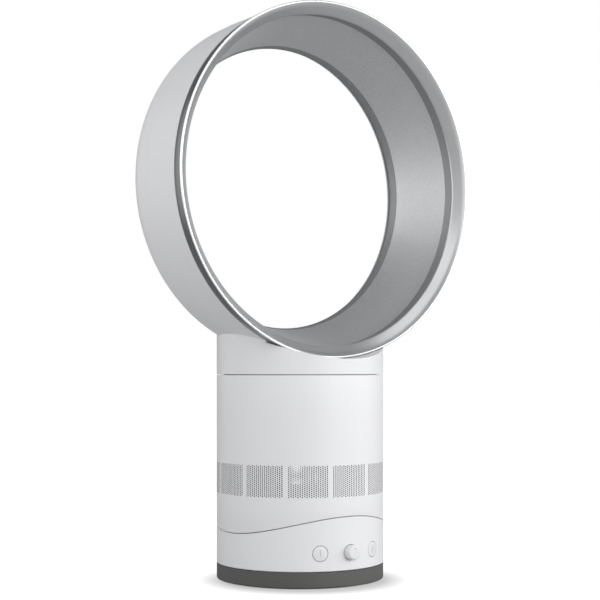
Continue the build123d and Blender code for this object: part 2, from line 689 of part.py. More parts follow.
# ---------------------------------------------------------------- rotor (spins in the body)
HUB_LOW, HUB_TOP = 110.0, 137.5
BLADE_COUNT = 9
with BuildPart() as impeller:
    with BuildSketch(Plane.XY.offset(HUB_LOW)):
        for index in range(BLADE_COUNT):
            with BuildLine(Plane.XY.rotated((0, 0, index * 360 / BLADE_COUNT))):
                arc = ThreePointArc((9, 0), (32, 9), (58.5, 30))
                offset(arc, amount=0.7)
            make_face()
    extrude(amount=HUB_TOP - HUB_LOW)
    turned(
        [(0, 104), (35.6, 104), (35.6, HUB_LOW + 0.4), (56.6, 136.2), (57.4, 139), (0, 139)],
        mode=Mode.INTERSECT,
    )
    hub_side = [(9, HUB_LOW + 1), (14, 115), (24, 126), (34, 133), (37, HUB_TOP)]
    turned([(0, HUB_LOW + 1), *hub_side, (0, HUB_TOP)])
    tube(0, SHAFT_R + EPS, HUB_LOW, HUB_TOP + 1, mode=Mode.SUBTRACT)
    tube(8, 31, 131, HUB_TOP + 1, mode=Mode.SUBTRACT)
save(impeller, "impeller")

with BuildPart() as motor_shaft:
    tube(0, SHAFT_R, 106, 171)
save(motor_shaft, "motor_shaft")

with BuildPart() as rotor_magnet:
    tube(SHAFT_R + EPS, 13.6, STATOR_LOW - 1, STATOR_HIGH + 1)
save(rotor_magnet, "rotor_magnet")

with BuildPart() as impeller_nut:
    with BuildSketch(Plane.XY.offset(106.5)):
        RegularPolygon(6.5, 6)
        Circle(SHAFT_R + EPS, mode=Mode.SUBTRACT)
    extrude(amount=4.4)
save(impeller_nut, "impeller_nut")

# ---------------------------------------------------------------- seat of the nozzle
SPIGOT_IN, SPIGOT_OUT, SPIGOT_LOW = 65.0, 67.0, 166.0
LUG_OUT, LUG_TOP = 69.0, 169.4
LUG_ANGLES = (30, 150, 270)
SEAT_Z = (169.8, 173.0)
with BuildPart() as nozzle_seat:
    tube(SPIGOT_OUT + 0.4, INNER_R - EPS, *SEAT_Z)
    for angle in LUG_ANGLES:
        passing = angle + TWIST_DEG  # where a lug can drop through the seat
        sector(SPIGOT_OUT, LUG_OUT + 0.4, passing, 11.5, SEAT_Z[0] - 1, SEAT_Z[1] + 1, mode=Mode.SUBTRACT)
save(nozzle_seat, "nozzle_seat")

with BuildPart() as nozzle_seal:
    tube(SPIGOT_OUT + 0.3, INNER_R - EPS, 173.2, 176.4)
save(nozzle_seal, "nozzle_seal")

# ================================================================ nozzle (twists off the body)
RING_AXIS = Axis((0, 0, RING_Z), (0, 1, 0))
RING_PLANE = Plane.XY.offset(RING_Z)  # its x is the radius from the ring axis, its y runs front to back
SHELL_FRONT_Y = -38.6
TRIM_REAR_Y = -38.9
RING_FRONT_Y = -50.6
SHOULDER_R = 153.1  # the neck's front shoulder, just below the ring's front edge
GUIDE_FRONT = Vector(142.4, -40.2)
GUIDE_REAR = Vector(143.6, -29.3)
LIP_C = Vector(134.2, 26.2)  # centre of the curved surface that the jet clings to
LIP_R = 9.0
SLOT = 1.3
SKIN = 2.0


def lip_point(radius, angle_deg):
    """A point about the centre of the curved lip, in the ring's section."""
    return LIP_C + Vector(radius * cos(radians(angle_deg)), radius * sin(radians(angle_deg)))


def revolve_ring(sketch, mode=Mode.ADD, arc=360.0):
    """Turns a section about the ring's axis."""
    revolve(sketch, axis=RING_AXIS, revolution_arc=arc, mode=mode)


with BuildPart() as nozzle_outer_casing:
    # the outer shell of the ring, which folds in at the back to make one side of the slot
    with BuildSketch(RING_PLANE) as shell:
        with BuildLine():
            side = Line((151.4, SHELL_FRONT_Y), (150.6, 6))
            fold = Spline(
                side @ 1,
                (149.7, 21),
                (146.4, 34),
                (140.2, 40.4),
                (133.4, 40.6),
                lip_point(LIP_R + SLOT + 0.6, 122),
            )
            tip = Line(fold @ 1, lip_point(LIP_R + SLOT, 120))
            slot_side = ThreePointArc(tip @ 1, lip_point(LIP_R + SLOT, 104), lip_point(LIP_R + SLOT, 88))
            inside = Spline(slot_side @ 1, (139.4, 37.0), (144.8, 31.2), (147.6, 18), (148.2, 6))
            back = Line(inside @ 1, (149.0, SHELL_FRONT_Y))
            Line(back @ 1, side @ 0)
        make_face()
    revolve_ring(shell.sketch)
    # the neck: a round tube whose top follows the ring, with a shadow gap under the front trim
    with BuildSketch(RING_PLANE) as above_neck:
        with BuildLine():
            step = Polyline(
                (SHOULDER_R, -76),
                (SHOULDER_R, SHELL_FRONT_Y),
                (150.2, SHELL_FRONT_Y),
                (149.4, 14),
                (145.8, 31),
                (142.6, 36.8),
            )
            back = Spline(step @ 1, (145.6, 41.5), (149.0, 50), (150.6, 62), (151.2, 76))
            Polyline(back @ 1, (0, 76), (0, -76), step @ 0)
        make_face()
    with BuildPart(mode=Mode.PRIVATE) as neck:
        tube(0, BODY_R, NECK_SEAM_Z + HALF, 232)
        fillet(neck.edges().filter_by(GeomType.CIRCLE).sort_by(Axis.Z)[0], 0.5)
        revolve_ring(above_neck.sketch, mode=Mode.SUBTRACT)
    add(neck.part)
    # the air passage up the neck and into the ring
    with BuildSketch(RING_PLANE) as above_bore:
        with BuildLine():
            Polyline(
                (SHOULDER_R + WALL, -76),
                (SHOULDER_R + WALL, -36),
                (138, -36),
                (138, 25),
                (150.8, 25),
                (150.8, 43),
                (152.4, 52),
                (153.4, 62),
                (153.8, 76),
                (0, 76),
                (0, -76),
                close=True,
            )
        make_face()
    with BuildPart(mode=Mode.PRIVATE) as bore:
        tube(0, INNER_R, NECK_SEAM_Z, 236)
        revolve_ring(above_bore.sketch, mode=Mode.SUBTRACT)
    add(bore.part, mode=Mode.SUBTRACT)
    # the spigot and its three bayonet lugs
    tube(SPIGOT_IN, INNER_R + 0.5, NECK_SEAM_Z + HALF, NECK_SEAM_Z + HALF + 2)
    tube(SPIGOT_IN, SPIGOT_OUT, SPIGOT_LOW, NECK_SEAM_Z + HALF + 1)
    for angle in LUG_ANGLES:
        sector(SPIGOT_OUT - 0.5, LUG_OUT, angle, 10, SPIGOT_LOW, LUG_TOP)
save(nozzle_outer_casing, "nozzle_outer_casing")

reach = LIP_C - GUIDE_REAR
tangent_deg = degrees(atan2(reach.Y, reach.X) + asin(LIP_R / reach.length))
lip_start_deg = tangent_deg + 90  # direction from the lip's centre to its tangent point
LIP_END_DEG = 88.0
LIP_JOINT_Y = 20.5  # where the flared wall ends and the lip ring begins
SPACER_COUNT = 10
diffuser_end = lip_point(LIP_R, lip_start_deg)
slope = (diffuser_end - GUIDE_REAR) * (1 / (diffuser_end.Y - GUIDE_REAR.Y))  # per mm of y
joint = GUIDE_REAR + slope * (LIP_JOINT_Y - GUIDE_REAR.Y)

with BuildPart() as nozzle_inner_casing:
    with BuildSketch(RING_PLANE) as wall:
        with BuildLine():
            Polyline(
                GUIDE_FRONT,
                GUIDE_REAR,
                joint,
                joint + Vector(SKIN, 0),
                GUIDE_REAR + Vector(SKIN, 0),
                GUIDE_FRONT + Vector(SKIN, 0),
                close=True,
            )
        make_face()
    revolve_ring(wall.sketch)
save(nozzle_inner_casing, "nozzle_inner_casing")

with BuildPart() as nozzle_lip_ring:
    with BuildSketch(RING_PLANE) as section:
        with BuildLine():
            middle_deg = (lip_start_deg + LIP_END_DEG) / 2
            near = joint + slope * (2 * EPS)
            face = Line(near, diffuser_end)
            lip = ThreePointArc(face @ 1, lip_point(LIP_R, middle_deg), lip_point(LIP_R, LIP_END_DEG))
            end = Line(lip @ 1, lip_point(LIP_R - SKIN, LIP_END_DEG))
            inside = ThreePointArc(
                end @ 1,
                lip_point(LIP_R - SKIN, middle_deg),
                lip_point(LIP_R - SKIN, lip_start_deg),
            )
            tongue_out = joint + Vector(SKIN + EPS + 1.6, 0)
            tongue_in = joint + Vector(SKIN + EPS, 0)
            Polyline(
                inside @ 1,
                tongue_out,
                tongue_out - slope * 5,
                tongue_in - slope * 5,
                tongue_in + slope * (2 * EPS),
                face @ 0,
            )
        make_face()
    revolve_ring(section.sketch)
    with BuildSketch(RING_PLANE) as rib:
        with BuildLine():
            low = ThreePointArc(*[lip_point(LIP_R - 0.5, angle) for angle in (112, 103, 94)])
            high = ThreePointArc(*[lip_point(LIP_R + SLOT - EPS, angle) for angle in (94, 103, 112)])
            Line(low @ 1, high @ 0)
            Line(high @ 1, low @ 0)
        make_face()
    with BuildPart(mode=Mode.PRIVATE) as spacer:
        revolve_ring(rib.sketch, arc=1.0)
    for index in range(SPACER_COUNT):
        add(spacer.part.rotate(RING_AXIS, 18 + index * 360 / SPACER_COUNT))
save(nozzle_lip_ring, "nozzle_lip_ring")

with BuildPart() as front_trim:
    with BuildSketch(RING_PLANE) as hoop:
        with BuildLine():
            outer = Line((151.5, TRIM_REAR_Y), (RING_R, -48.8))
            nose = ThreePointArc(outer @ 1, (151.6, RING_FRONT_Y + 0.1), (149.6, -50.1))
            Polyline(
                nose @ 1,
                (142.4, -42.2),
                (142.4, -40.5),
                (144.2, -40.5),
                (147.2, -43.6),
                (147.2, -34),
                (148.7, -34),
                (148.7, TRIM_REAR_Y),
                outer @ 0,
            )
        make_face()
    revolve_ring(hoop.sketch)
save(front_trim, "front_trim")

print(f"height {RING_Z + RING_R:.1f}, width {2 * RING_R:.1f}")
print(f"tilt axis at z {TILT_Z:.1f}, tilt radius {TILT_R:.1f}")
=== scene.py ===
# %% [markdown]
# # A bladeless desk fan
#
# The fan has four big parts: a dark foot, a control base that swings on it, a main body that
# tilts in the base, and a ring nozzle that twists onto the body. Their sizes and joints come
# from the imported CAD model, which is loaded first and stays as it is. This lesson then makes
# finer pieces where the CAD shape is too plain, and gives every piece its finish.

import json
from math import asin, atan2, cos, degrees, pi, radians, sin, sqrt

import bmesh
import bpy
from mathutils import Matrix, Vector

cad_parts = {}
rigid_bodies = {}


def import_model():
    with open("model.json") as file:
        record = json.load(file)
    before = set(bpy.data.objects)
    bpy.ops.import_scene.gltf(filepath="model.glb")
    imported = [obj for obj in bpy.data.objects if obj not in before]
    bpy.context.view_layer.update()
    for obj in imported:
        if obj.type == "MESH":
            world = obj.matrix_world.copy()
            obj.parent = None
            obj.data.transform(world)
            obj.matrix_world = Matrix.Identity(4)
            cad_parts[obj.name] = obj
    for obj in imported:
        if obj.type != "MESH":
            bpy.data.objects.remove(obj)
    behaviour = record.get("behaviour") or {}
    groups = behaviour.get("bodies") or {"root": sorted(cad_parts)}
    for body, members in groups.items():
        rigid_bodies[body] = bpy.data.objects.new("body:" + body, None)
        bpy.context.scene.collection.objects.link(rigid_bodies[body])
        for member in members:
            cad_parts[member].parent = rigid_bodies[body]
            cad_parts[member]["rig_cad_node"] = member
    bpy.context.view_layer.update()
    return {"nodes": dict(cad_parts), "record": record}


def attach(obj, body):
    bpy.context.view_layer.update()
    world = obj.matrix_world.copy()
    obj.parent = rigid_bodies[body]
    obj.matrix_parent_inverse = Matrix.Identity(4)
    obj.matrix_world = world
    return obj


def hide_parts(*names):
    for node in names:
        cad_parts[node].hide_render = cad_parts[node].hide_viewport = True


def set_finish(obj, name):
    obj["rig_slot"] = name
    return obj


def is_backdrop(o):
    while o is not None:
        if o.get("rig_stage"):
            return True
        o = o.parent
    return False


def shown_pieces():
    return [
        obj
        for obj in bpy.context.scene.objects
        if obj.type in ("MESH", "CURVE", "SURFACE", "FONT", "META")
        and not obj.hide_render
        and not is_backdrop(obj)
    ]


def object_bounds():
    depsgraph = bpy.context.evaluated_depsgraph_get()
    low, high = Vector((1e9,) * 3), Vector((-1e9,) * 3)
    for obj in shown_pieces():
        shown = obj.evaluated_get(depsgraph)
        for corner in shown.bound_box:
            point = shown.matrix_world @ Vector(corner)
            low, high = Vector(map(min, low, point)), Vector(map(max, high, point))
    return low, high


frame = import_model()
MM = 0.001

# %% [markdown]
# ## The camera
#
# The fan is seen from its left front, from just above the table, with the lens shifted up so
# that the upright body stays upright. A camera is easiest to place with a position and a turn
# about Z; the shift does what the sliding back of a view camera does.

# %% Camera
CAMERA_PLACE = (-0.7379, -1.0376, 0.1850)
CAMERA_TURN_DEG = -35.42
LENS_MM = 86.38
LENS_SHIFT = 0.1136

bpy.ops.object.camera_add(location=CAMERA_PLACE, rotation=(pi / 2, 0, radians(CAMERA_TURN_DEG)))
camera = bpy.context.object
camera.data.lens = LENS_MM
camera.data.shift_y = LENS_SHIFT
bpy.context.scene.camera = camera
print("camera", camera.data.lens, "mm")

# %% [markdown]
# ## Small tools for modelling
#
# An operator works on everything that is selected, and the loaded parts are selected after the
# import. So each piece starts with an empty selection, and faces and edges are then picked by
# their place or the way they face, as a modeller would click on them.


# %% Helpers for selecting
def clear_selection():
    """Leaves nothing selected."""
    bpy.ops.object.select_all(action="DESELECT")


def select_only(*pieces):
    """Selects these pieces and nothing else; the first one is the active one."""
    clear_selection()
    for piece in pieces:
        piece.select_set(True)
    bpy.context.view_layer.objects.active = pieces[0]


def pick(kind, test):
    """Selects the VERTs, EDGEs or FACEs of the mesh in edit mode that pass the test."""
    bpy.ops.mesh.select_mode(type=kind)
    bpy.ops.mesh.select_all(action="DESELECT")
    mesh = bmesh.from_edit_mesh(bpy.context.edit_object.data)
    items = {"VERT": mesh.verts, "EDGE": mesh.edges, "FACE": mesh.faces}[kind]
    chosen = [item for item in items if test(item)]
    for item in chosen:
        item.select_set(True)
    mesh.select_flush_mode()
    bmesh.update_edit_mesh(bpy.context.edit_object.data)
    return len(chosen)


def middle(edge):
    """The middle of an edge."""
    return (edge.verts[0].co + edge.verts[1].co) / 2


def open_rim(edge, axis, place):
    """True on an open edge that lies at one place along an axis (0 is X, 2 is Z)."""
    return edge.is_boundary and all(abs(v.co[axis] - place) < 1e-6 for v in edge.verts)


def turn_radius(point):
    """Distance of a point from the upright axis of the body."""
    return sqrt(point.x**2 + point.y**2)


# %% Helpers for shaping and finishing a piece
def edit():
    """Opens the active piece in edit mode."""
    bpy.ops.object.mode_set(mode="EDIT")


def leave_edit():
    """Closes edit mode."""
    bpy.ops.object.mode_set(mode="OBJECT")


def add_modifier(piece, kind, **settings):
    """Adds a modifier with its settings and applies it."""
    modifier = piece.modifiers.new(kind.title(), kind)
    for name, value in settings.items():
        setattr(modifier, name, value)
    bpy.context.view_layer.objects.active = piece
    bpy.ops.object.modifier_apply(modifier=modifier.name)


def box(size, place, turn_deg):
    """A box with a size in mm at a place in metres, turned about the upright axis."""
    clear_selection()
    bpy.ops.mesh.primitive_cube_add(size=1, location=place, rotation=(0, 0, radians(turn_deg)))
    piece = bpy.context.object
    piece.scale = Vector(size) * MM
    bpy.ops.object.transform_apply(location=True, rotation=True, scale=True)
    return piece


def join(first, *others):
    """Joins other pieces into the first one."""
    select_only(first, *others)
    bpy.ops.object.join()
    return first


def finish_piece(piece, name, body, slot, replaced=(), smooth_deg=30):
    """Names a piece, smooths its shading and fixes it to a body of the fan."""
    select_only(piece)
    bpy.ops.object.transform_apply(location=True, rotation=True, scale=True)
    bpy.ops.object.shade_smooth_by_angle(angle=radians(smooth_deg))
    piece.name = name
    piece.data.name = name
    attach(piece, body)
    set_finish(piece, slot)
    if replaced:
        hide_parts(*replaced)
    piece.data.calc_loop_triangles()
    print(name, len(piece.data.loop_triangles), "triangles")


# %% [markdown]
# ## Turned shapes
#
# The ring's pieces, the dial and the foam sleeves all have the same section all the way round.
# They could be cut from cylinders, but a spun outline is cleaner: one vertex is extruded from
# point to point along half of the section, and the closed outline is spun about the axis.


# %% Helper for turned shapes
def turned(name, points, centre, axis, steps, closed=True):
    """Spins an outline of points about an axis into a solid.

    The outline's ends are joined by an edge unless closed is False, as for an outline whose ends
    both lie on the axis.
    """
    ends = (points[0], points[-1])
    clear_selection()
    bpy.ops.mesh.primitive_plane_add(size=MM, location=points[0])
    piece = bpy.context.object
    piece.name = name
    bpy.ops.object.transform_apply(location=True)
    edit()
    bpy.ops.mesh.select_mode(type="VERT")
    bpy.ops.mesh.select_all(action="SELECT")
    bpy.ops.mesh.merge(type="CENTER")
    for here, there in zip(points, points[1:]):
        bpy.ops.mesh.extrude_region_move(TRANSFORM_OT_translate={"value": there - here})
    if closed:
        pick("VERT", lambda v: any((v.co - end).length < 1e-7 for end in ends))
        bpy.ops.mesh.edge_face_add()
    bpy.ops.mesh.select_all(action="SELECT")
    bpy.ops.mesh.spin(steps=steps, angle=2 * pi, center=centre, axis=axis)
    bpy.ops.mesh.select_all(action="SELECT")
    bpy.ops.mesh.remove_doubles(threshold=1e-6)
    bpy.ops.mesh.normals_make_consistent(inside=False)
    leave_edit()
    return piece


def arc(centre, radius, start_deg, end_deg, count):
    """Points (across, along) on an arc, both ends included."""
    angles = [radians(start_deg + (end_deg - start_deg) * i / count) for i in range(count + 1)]
    return [(centre[0] + radius * cos(a), centre[1] + radius * sin(a)) for a in angles]


# %% [markdown]
# ## The front hoop of the ring
#
# A plated hoop closes the front of the ring. From the outside in it is a narrow strip that mirrors
# the dim room and is given a painted dark reflection further down, then a rounded bead that catches
# the light and gets a painted highlight, and then a flare that leads inward to the guide band. A
# torus and a cone could be joined to make it, but one turned outline has no seams. The bead needs
# real roundness, because it is the brightest line on the whole fan, so it gets many points, while
# the flare is a gentle curve with few.

# %% Front hoop
RING_Z = 346.0
RING_CENTRE = (0, 0, RING_Z * MM)
RING_AXIS = (0, 1, 0)
RING_STEPS = 288
BEAD_CENTRE = (151.55, -49.55)
BEAD_R = 1.05


def ring_points(pairs):
    """Points of the ring's section, from (distance from its axis, front to back) in mm."""
    return [Vector((r, y, RING_Z)) * MM for r, y in pairs]


bead = arc(BEAD_CENTRE, BEAD_R, -5, -130, 10)
flare = [(149.0, -49.45), (146.8, -46.95), (144.5, -44.35), (142.75, -42.45), (142.4, -41.9)]
hoop_outline = [
    (151.35, -38.9),
    (151.5, -39.3),
    *bead,
    *flare,
    (142.4, -40.5),
    (144.2, -40.5),
    (147.2, -43.6),
    (147.2, -34.0),
    (148.7, -34.0),
    (148.7, -38.9),
]
hoop = turned("front_hoop", ring_points(hoop_outline), RING_CENTRE, RING_AXIS, RING_STEPS)
finish_piece(hoop, "front_hoop", "nozzle", "plated_trim", ["front_trim"])

# %% [markdown]
# ## The flared wall of the ring
#
# Air leaves a thin slot near the back of the ring and clings to a curved lip, which turns it
# forward along a straight flared wall. The two could be one turned shape, but on the fan they
# are two mouldings of the same silver, so they are two pieces with a fine joint between them; the
# lip gets painted shade further down. The wall leaves the lip along its tangent, so that angle is
# worked out from the lip's centre and radius and isn't typed in: if the lip changes, the two
# still meet smoothly.

# %% Flared wall
GUIDE_FRONT = Vector((142.4, -40.2))
GUIDE_REAR = Vector((143.6, -29.3))
LIP_CENTRE = Vector((134.2, 26.2))
LIP_R = 9.0
SKIN = 2.0
JOINT_Y = 20.5

reach = LIP_CENTRE - GUIDE_REAR
tangent = atan2(reach.y, reach.x) + asin(LIP_R / reach.length)
lip_start_deg = degrees(tangent) + 90
lip_start = Vector(arc(LIP_CENTRE, LIP_R, lip_start_deg, lip_start_deg, 1)[0])
slope = (lip_start - GUIDE_REAR) / (lip_start.y - GUIDE_REAR.y)
joint = GUIDE_REAR + slope * (JOINT_Y - GUIDE_REAR.y)
across = Vector((SKIN, 0))

wall_outline = [
    GUIDE_FRONT + Vector((0.15, 0)),
    GUIDE_FRONT + Vector((0, 0.2)),
    GUIDE_REAR - Vector((0.03, 0.25)),
    GUIDE_REAR + slope * 0.25,
    *[GUIDE_REAR + slope * step for step in (12, 24, 36, 48)],
    joint - slope * 0.2,
    joint + Vector((0.2, 0)),
    joint + across,
    GUIDE_REAR + across,
    GUIDE_FRONT + across,
]
wall = turned("ring_wall", ring_points(wall_outline), RING_CENTRE, RING_AXIS, RING_STEPS)
finish_piece(wall, "ring_wall", "nozzle", "silver_paint", ["nozzle_inner_casing"], 25)

# %% [markdown]
# ## The curved lip and its slot spacers
#
# The lip is a thin curved skin with a tongue that laps under the wall. Ten small blocks on its
# back keep the slot equally wide all the way round. The skin is turned like the wall. One
# block is made and bevelled, and then duplicated and turned about the ring's axis, which keeps
# the copies exactly equal.

# %% Curved lip
LIP_END_DEG = 88.0
TONGUE_STEP = Vector((1.6, 0))
TONGUE_LENGTH = 5
tongue = joint + across + Vector((0.05, 0))
lip_outline = [
    joint + slope * 0.1 + Vector((0.2, 0)),
    joint + slope * 0.3,
    *arc(LIP_CENTRE, LIP_R, lip_start_deg, LIP_END_DEG, 22),
    *arc(LIP_CENTRE, LIP_R - SKIN, LIP_END_DEG, lip_start_deg, 10),
    tongue + TONGUE_STEP,
    tongue + TONGUE_STEP - slope * TONGUE_LENGTH,
    tongue - slope * TONGUE_LENGTH,
    tongue + slope * 0.1,
]
lip = turned("ring_lip", ring_points(lip_outline), RING_CENTRE, RING_AXIS, RING_STEPS)
print("lip", len(lip.data.vertices), "vertices")

# %% Slot spacers
SPACERS = 10
SPACER_SIZE = (2.6, 1.4, 2.3)
SPACER_DEG = 103
FIRST_SPACER_DEG = 18

spacer_place = arc(LIP_CENTRE, LIP_R + 0.45, SPACER_DEG, SPACER_DEG, 1)
spacer = box(SPACER_SIZE, ring_points(spacer_place)[0], SPACER_DEG - 90)
add_modifier(spacer, "BEVEL", width=0.25 * MM, segments=2)
edit()
bpy.ops.mesh.select_all(action="SELECT")
bpy.ops.transform.rotate(
    value=radians(FIRST_SPACER_DEG), orient_axis="Y", center_override=RING_CENTRE
)
for copy in range(SPACERS - 1):
    bpy.ops.mesh.duplicate()
    bpy.ops.transform.rotate(value=2 * pi / SPACERS, orient_axis="Y", center_override=RING_CENTRE)
leave_edit()
join(lip, spacer)
finish_piece(lip, "ring_lip", "nozzle", "silver_paint", ["nozzle_lip_ring"], 25)

# %% [markdown]
# ## The main body and its inlet holes
#
# The body is one moulded tube with twelve groups of tiny holes. Drilling thousands of holes in
# a tube is slow and leaves ragged faces. Instead one small tile with one hole is modelled flat,
# repeated into a column, a group and a long strip, and the strip is bent into a closed band. The
# plain wall above and below is extruded from the band's edges, and the wall gets its thickness
# last.

# %% One tile with one hole
BODY_R = 73.5
WALL = 2.5
HOLE_R = 0.58
COLUMN_DEG = 1.5
COLUMNS = 18
ROWS = 16
GROUPS = 12
PITCH_X = BODY_R * radians(COLUMN_DEG)
PITCH_Z = 1.66
BAND_Z = 90.0

clear_selection()
bpy.ops.mesh.primitive_circle_add(vertices=8, radius=HOLE_R * MM, rotation=(pi / 2, 0, 0))
shell = bpy.context.object
bpy.ops.object.transform_apply(location=True, rotation=True)
edit()
bpy.ops.mesh.select_all(action="SELECT")
bpy.ops.mesh.extrude_region_move()
bpy.ops.transform.resize(value=(PITCH_X / 2 / HOLE_R, 1, PITCH_Z / 2 / HOLE_R))


def on_diagonal(vertex):
    """True on the four slanted corners of the tile's outer outline."""
    x, z = abs(vertex.co.x) / MM, abs(vertex.co.z) / MM
    return min(x, z) > 0.1 and (x > HOLE_R or z > 0.55)


# The outer outline still has eight corners like the hole. Pushing the four slanted ones out
# makes it a rectangle, so that tiles fit edge to edge.
corner_push = sqrt(2)
print("corners", pick("VERT", on_diagonal))
bpy.ops.transform.resize(value=(corner_push, 1, corner_push), center_override=(0, 0, 0))
leave_edit()
print("tile", len(shell.data.vertices), "vertices")

# %% [markdown]
# A real moulded grille has its holes in staggered rows, because the webs between them are then
# equally strong in all directions. Two columns, the second half a step higher, are joined into
# one unit, and arrays repeat that unit into a group and the group into the strip that goes
# once round the body. Arrays merge the tiles where they meet, so the strip is one sheet.

# %% Two staggered columns
half_z = PITCH_Z / 2 * MM
pitch_x = PITCH_X * MM
merge = dict(
    use_merge_vertices=True,
    merge_threshold=1e-6,
    use_relative_offset=False,
    use_constant_offset=True,
)
add_modifier(shell, "ARRAY", count=ROWS, constant_offset_displace=(0, 0, 2 * half_z), **merge)
edit()
bpy.ops.mesh.select_all(action="SELECT")
bpy.ops.mesh.duplicate()
bpy.ops.transform.translate(value=(pitch_x, 0, half_z))
top_z = (2 * ROWS - 1) * half_z
pick("EDGE", lambda e: open_rim(e, 2, top_z) and middle(e).x < pitch_x / 2)
bpy.ops.mesh.extrude_region_move(TRANSFORM_OT_translate={"value": (0, 0, half_z)})
pick("EDGE", lambda e: open_rim(e, 2, 0) and middle(e).x > pitch_x / 2)
bpy.ops.mesh.extrude_region_move(TRANSFORM_OT_translate={"value": (0, 0, -half_z)})
bpy.ops.mesh.select_all(action="SELECT")
bpy.ops.mesh.remove_doubles(threshold=1e-6)
leave_edit()
print("two columns", len(shell.data.vertices), "vertices")

# %% A group with its gap, and the whole strip
pair_step = (2 * pitch_x, 0, 0)
group_step = ((COLUMNS + 2) * pitch_x, 0, 0)
add_modifier(shell, "ARRAY", count=COLUMNS // 2, constant_offset_displace=pair_step, **merge)
edit()
group_right = (COLUMNS - 0.5) * pitch_x
pick("EDGE", lambda e: open_rim(e, 0, group_right))
for half_gap in range(2):
    bpy.ops.mesh.extrude_region_move(TRANSFORM_OT_translate={"value": (pitch_x, 0, 0)})
bpy.ops.mesh.select_all(action="SELECT")
group_middle = (COLUMNS / 2 - 0.5) * pitch_x
strip_half = GROUPS / 2 * group_step[0]
strip_start = (COLUMNS / 2 + 1) * pitch_x - strip_half
band_lift = BAND_Z * MM - (ROWS - 0.5) * half_z
bpy.ops.transform.translate(value=(strip_start - group_middle, 0, band_lift))
leave_edit()
add_modifier(shell, "ARRAY", count=GROUPS, constant_offset_displace=group_step, **merge)
print("strip", [round(side / MM, 2) for side in shell.dimensions], "mm")

# %% [markdown]
# The strip is exactly as long as the body is round, so a simple deform modifier that bends it
# by a full turn brings its two ends together, where they are merged. Bending keeps every hole
# the same size, which drilling from one side wouldn't.

# %% Bend the strip into a band
GROUP_TURN_DEG = 15.0
add_modifier(shell, "SIMPLE_DEFORM", deform_method="BEND", deform_axis="Z", angle=2 * pi)
edit()
bpy.ops.mesh.select_all(action="SELECT")
bpy.ops.mesh.remove_doubles(threshold=2e-6)
bpy.ops.transform.translate(value=(0, -BODY_R * MM, 0))
bpy.ops.transform.rotate(value=radians(GROUP_TURN_DEG), orient_axis="Z", center_override=(0, 0, 0))
leave_edit()
radii = [turn_radius(v.co) / MM for v in shell.data.vertices]
print("band radius", round(min(radii), 3), "to", round(max(radii), 3), "mm")

# %% [markdown]
# Above and below the holes the body is plain. The open rims of the band are extruded up and
# down, so the plain wall and the holes are one sheet with no seam. The sheet gets its
# thickness from a solidify modifier, which also makes the walls of the holes.

# %% Walls above and below
BODY_TOP = 179.1
BODY_LOW = 43.0
band_top = max(v.co.z for v in shell.data.vertices)
band_bottom = min(v.co.z for v in shell.data.vertices)

select_only(shell)
edit()
pick("EDGE", lambda e: open_rim(e, 2, band_top))
for height in (120.0, 150.0, BODY_TOP):
    lift = {"value": (0, 0, height * MM - band_top)}
    bpy.ops.mesh.extrude_region_move(TRANSFORM_OT_translate=lift)
    band_top = height * MM
pick("EDGE", lambda e: open_rim(e, 2, band_bottom))
for height in (68.0, BODY_LOW):
    lift = {"value": (0, 0, height * MM - band_bottom)}
    bpy.ops.mesh.extrude_region_move(TRANSFORM_OT_translate=lift)
    band_bottom = height * MM
bpy.ops.mesh.select_all(action="SELECT")
bpy.ops.mesh.normals_make_consistent(inside=False)
mesh = bmesh.from_edit_mesh(shell.data)
mesh.faces.ensure_lookup_table()
# An open sheet has no inside, so one face tells whether all of them must be flipped.
first_face = mesh.faces[0]
if first_face.normal.dot(first_face.calc_center_median() * Vector((1, 1, 0))) < 0:
    bpy.ops.mesh.flip_normals()
leave_edit()
add_modifier(shell, "SOLIDIFY", thickness=WALL * MM, offset=-1, use_even_offset=True)
print("wall from", BODY_LOW, "to", BODY_TOP, "mm above the table")

# %% [markdown]
# The lower edge of the body is a saddle: the body rocks in the base on a surface that is part
# of a lying cylinder. A Boolean cut would leave long thin faces in the wall. Instead the wall
# reaches down past that surface, and a shrinkwrap modifier lifts its lower edge onto the
# cylinder, which gives the same wave as a cut and keeps the mesh even.

# %% The wavy lower edge
SEAM_SIDE_Z, SEAM_FRONT_Z = 44.3, 60.3
SEAM_RISE = SEAM_FRONT_Z - SEAM_SIDE_Z
TILT_R = (BODY_R**2 + SEAM_RISE**2) / (2 * SEAM_RISE)
TILT_Z = SEAM_SIDE_Z + TILT_R
HALF_SEAM = 0.3

clear_selection()
bpy.ops.mesh.primitive_cylinder_add(
    vertices=1440,
    radius=(TILT_R - HALF_SEAM) * MM,
    depth=0.2,
    end_fill_type="NOTHING",
    location=(0, 0, TILT_Z * MM),
    rotation=(0, pi / 2, 0),
)
saddle = bpy.context.object
lower_edge = shell.vertex_groups.new(name="lower_edge")
lowest = [v.index for v in shell.data.vertices if v.co.z < (BODY_LOW + 0.5) * MM]
lower_edge.add(lowest, 1.0, "REPLACE")
add_modifier(
    shell,
    "SHRINKWRAP",
    target=saddle,
    wrap_method="PROJECT",
    use_project_z=True,
    use_positive_direction=True,
    use_negative_direction=False,
    vertex_group="lower_edge",
)
bpy.data.objects.remove(saddle)
shell.vertex_groups.clear()
lowest_z = min(v.co.z for v in shell.data.vertices)
print("lower edge", round(lowest_z / MM, 2), "mm above the table at the sides")

# %% [markdown]
# A moulded edge is never quite sharp. The outer edges at the top and along the wave are
# bevelled by less than half a millimetre, so that the seams catch a thin line of light. Only
# those edges are picked, because a bevel modifier would also round all the tiny holes.


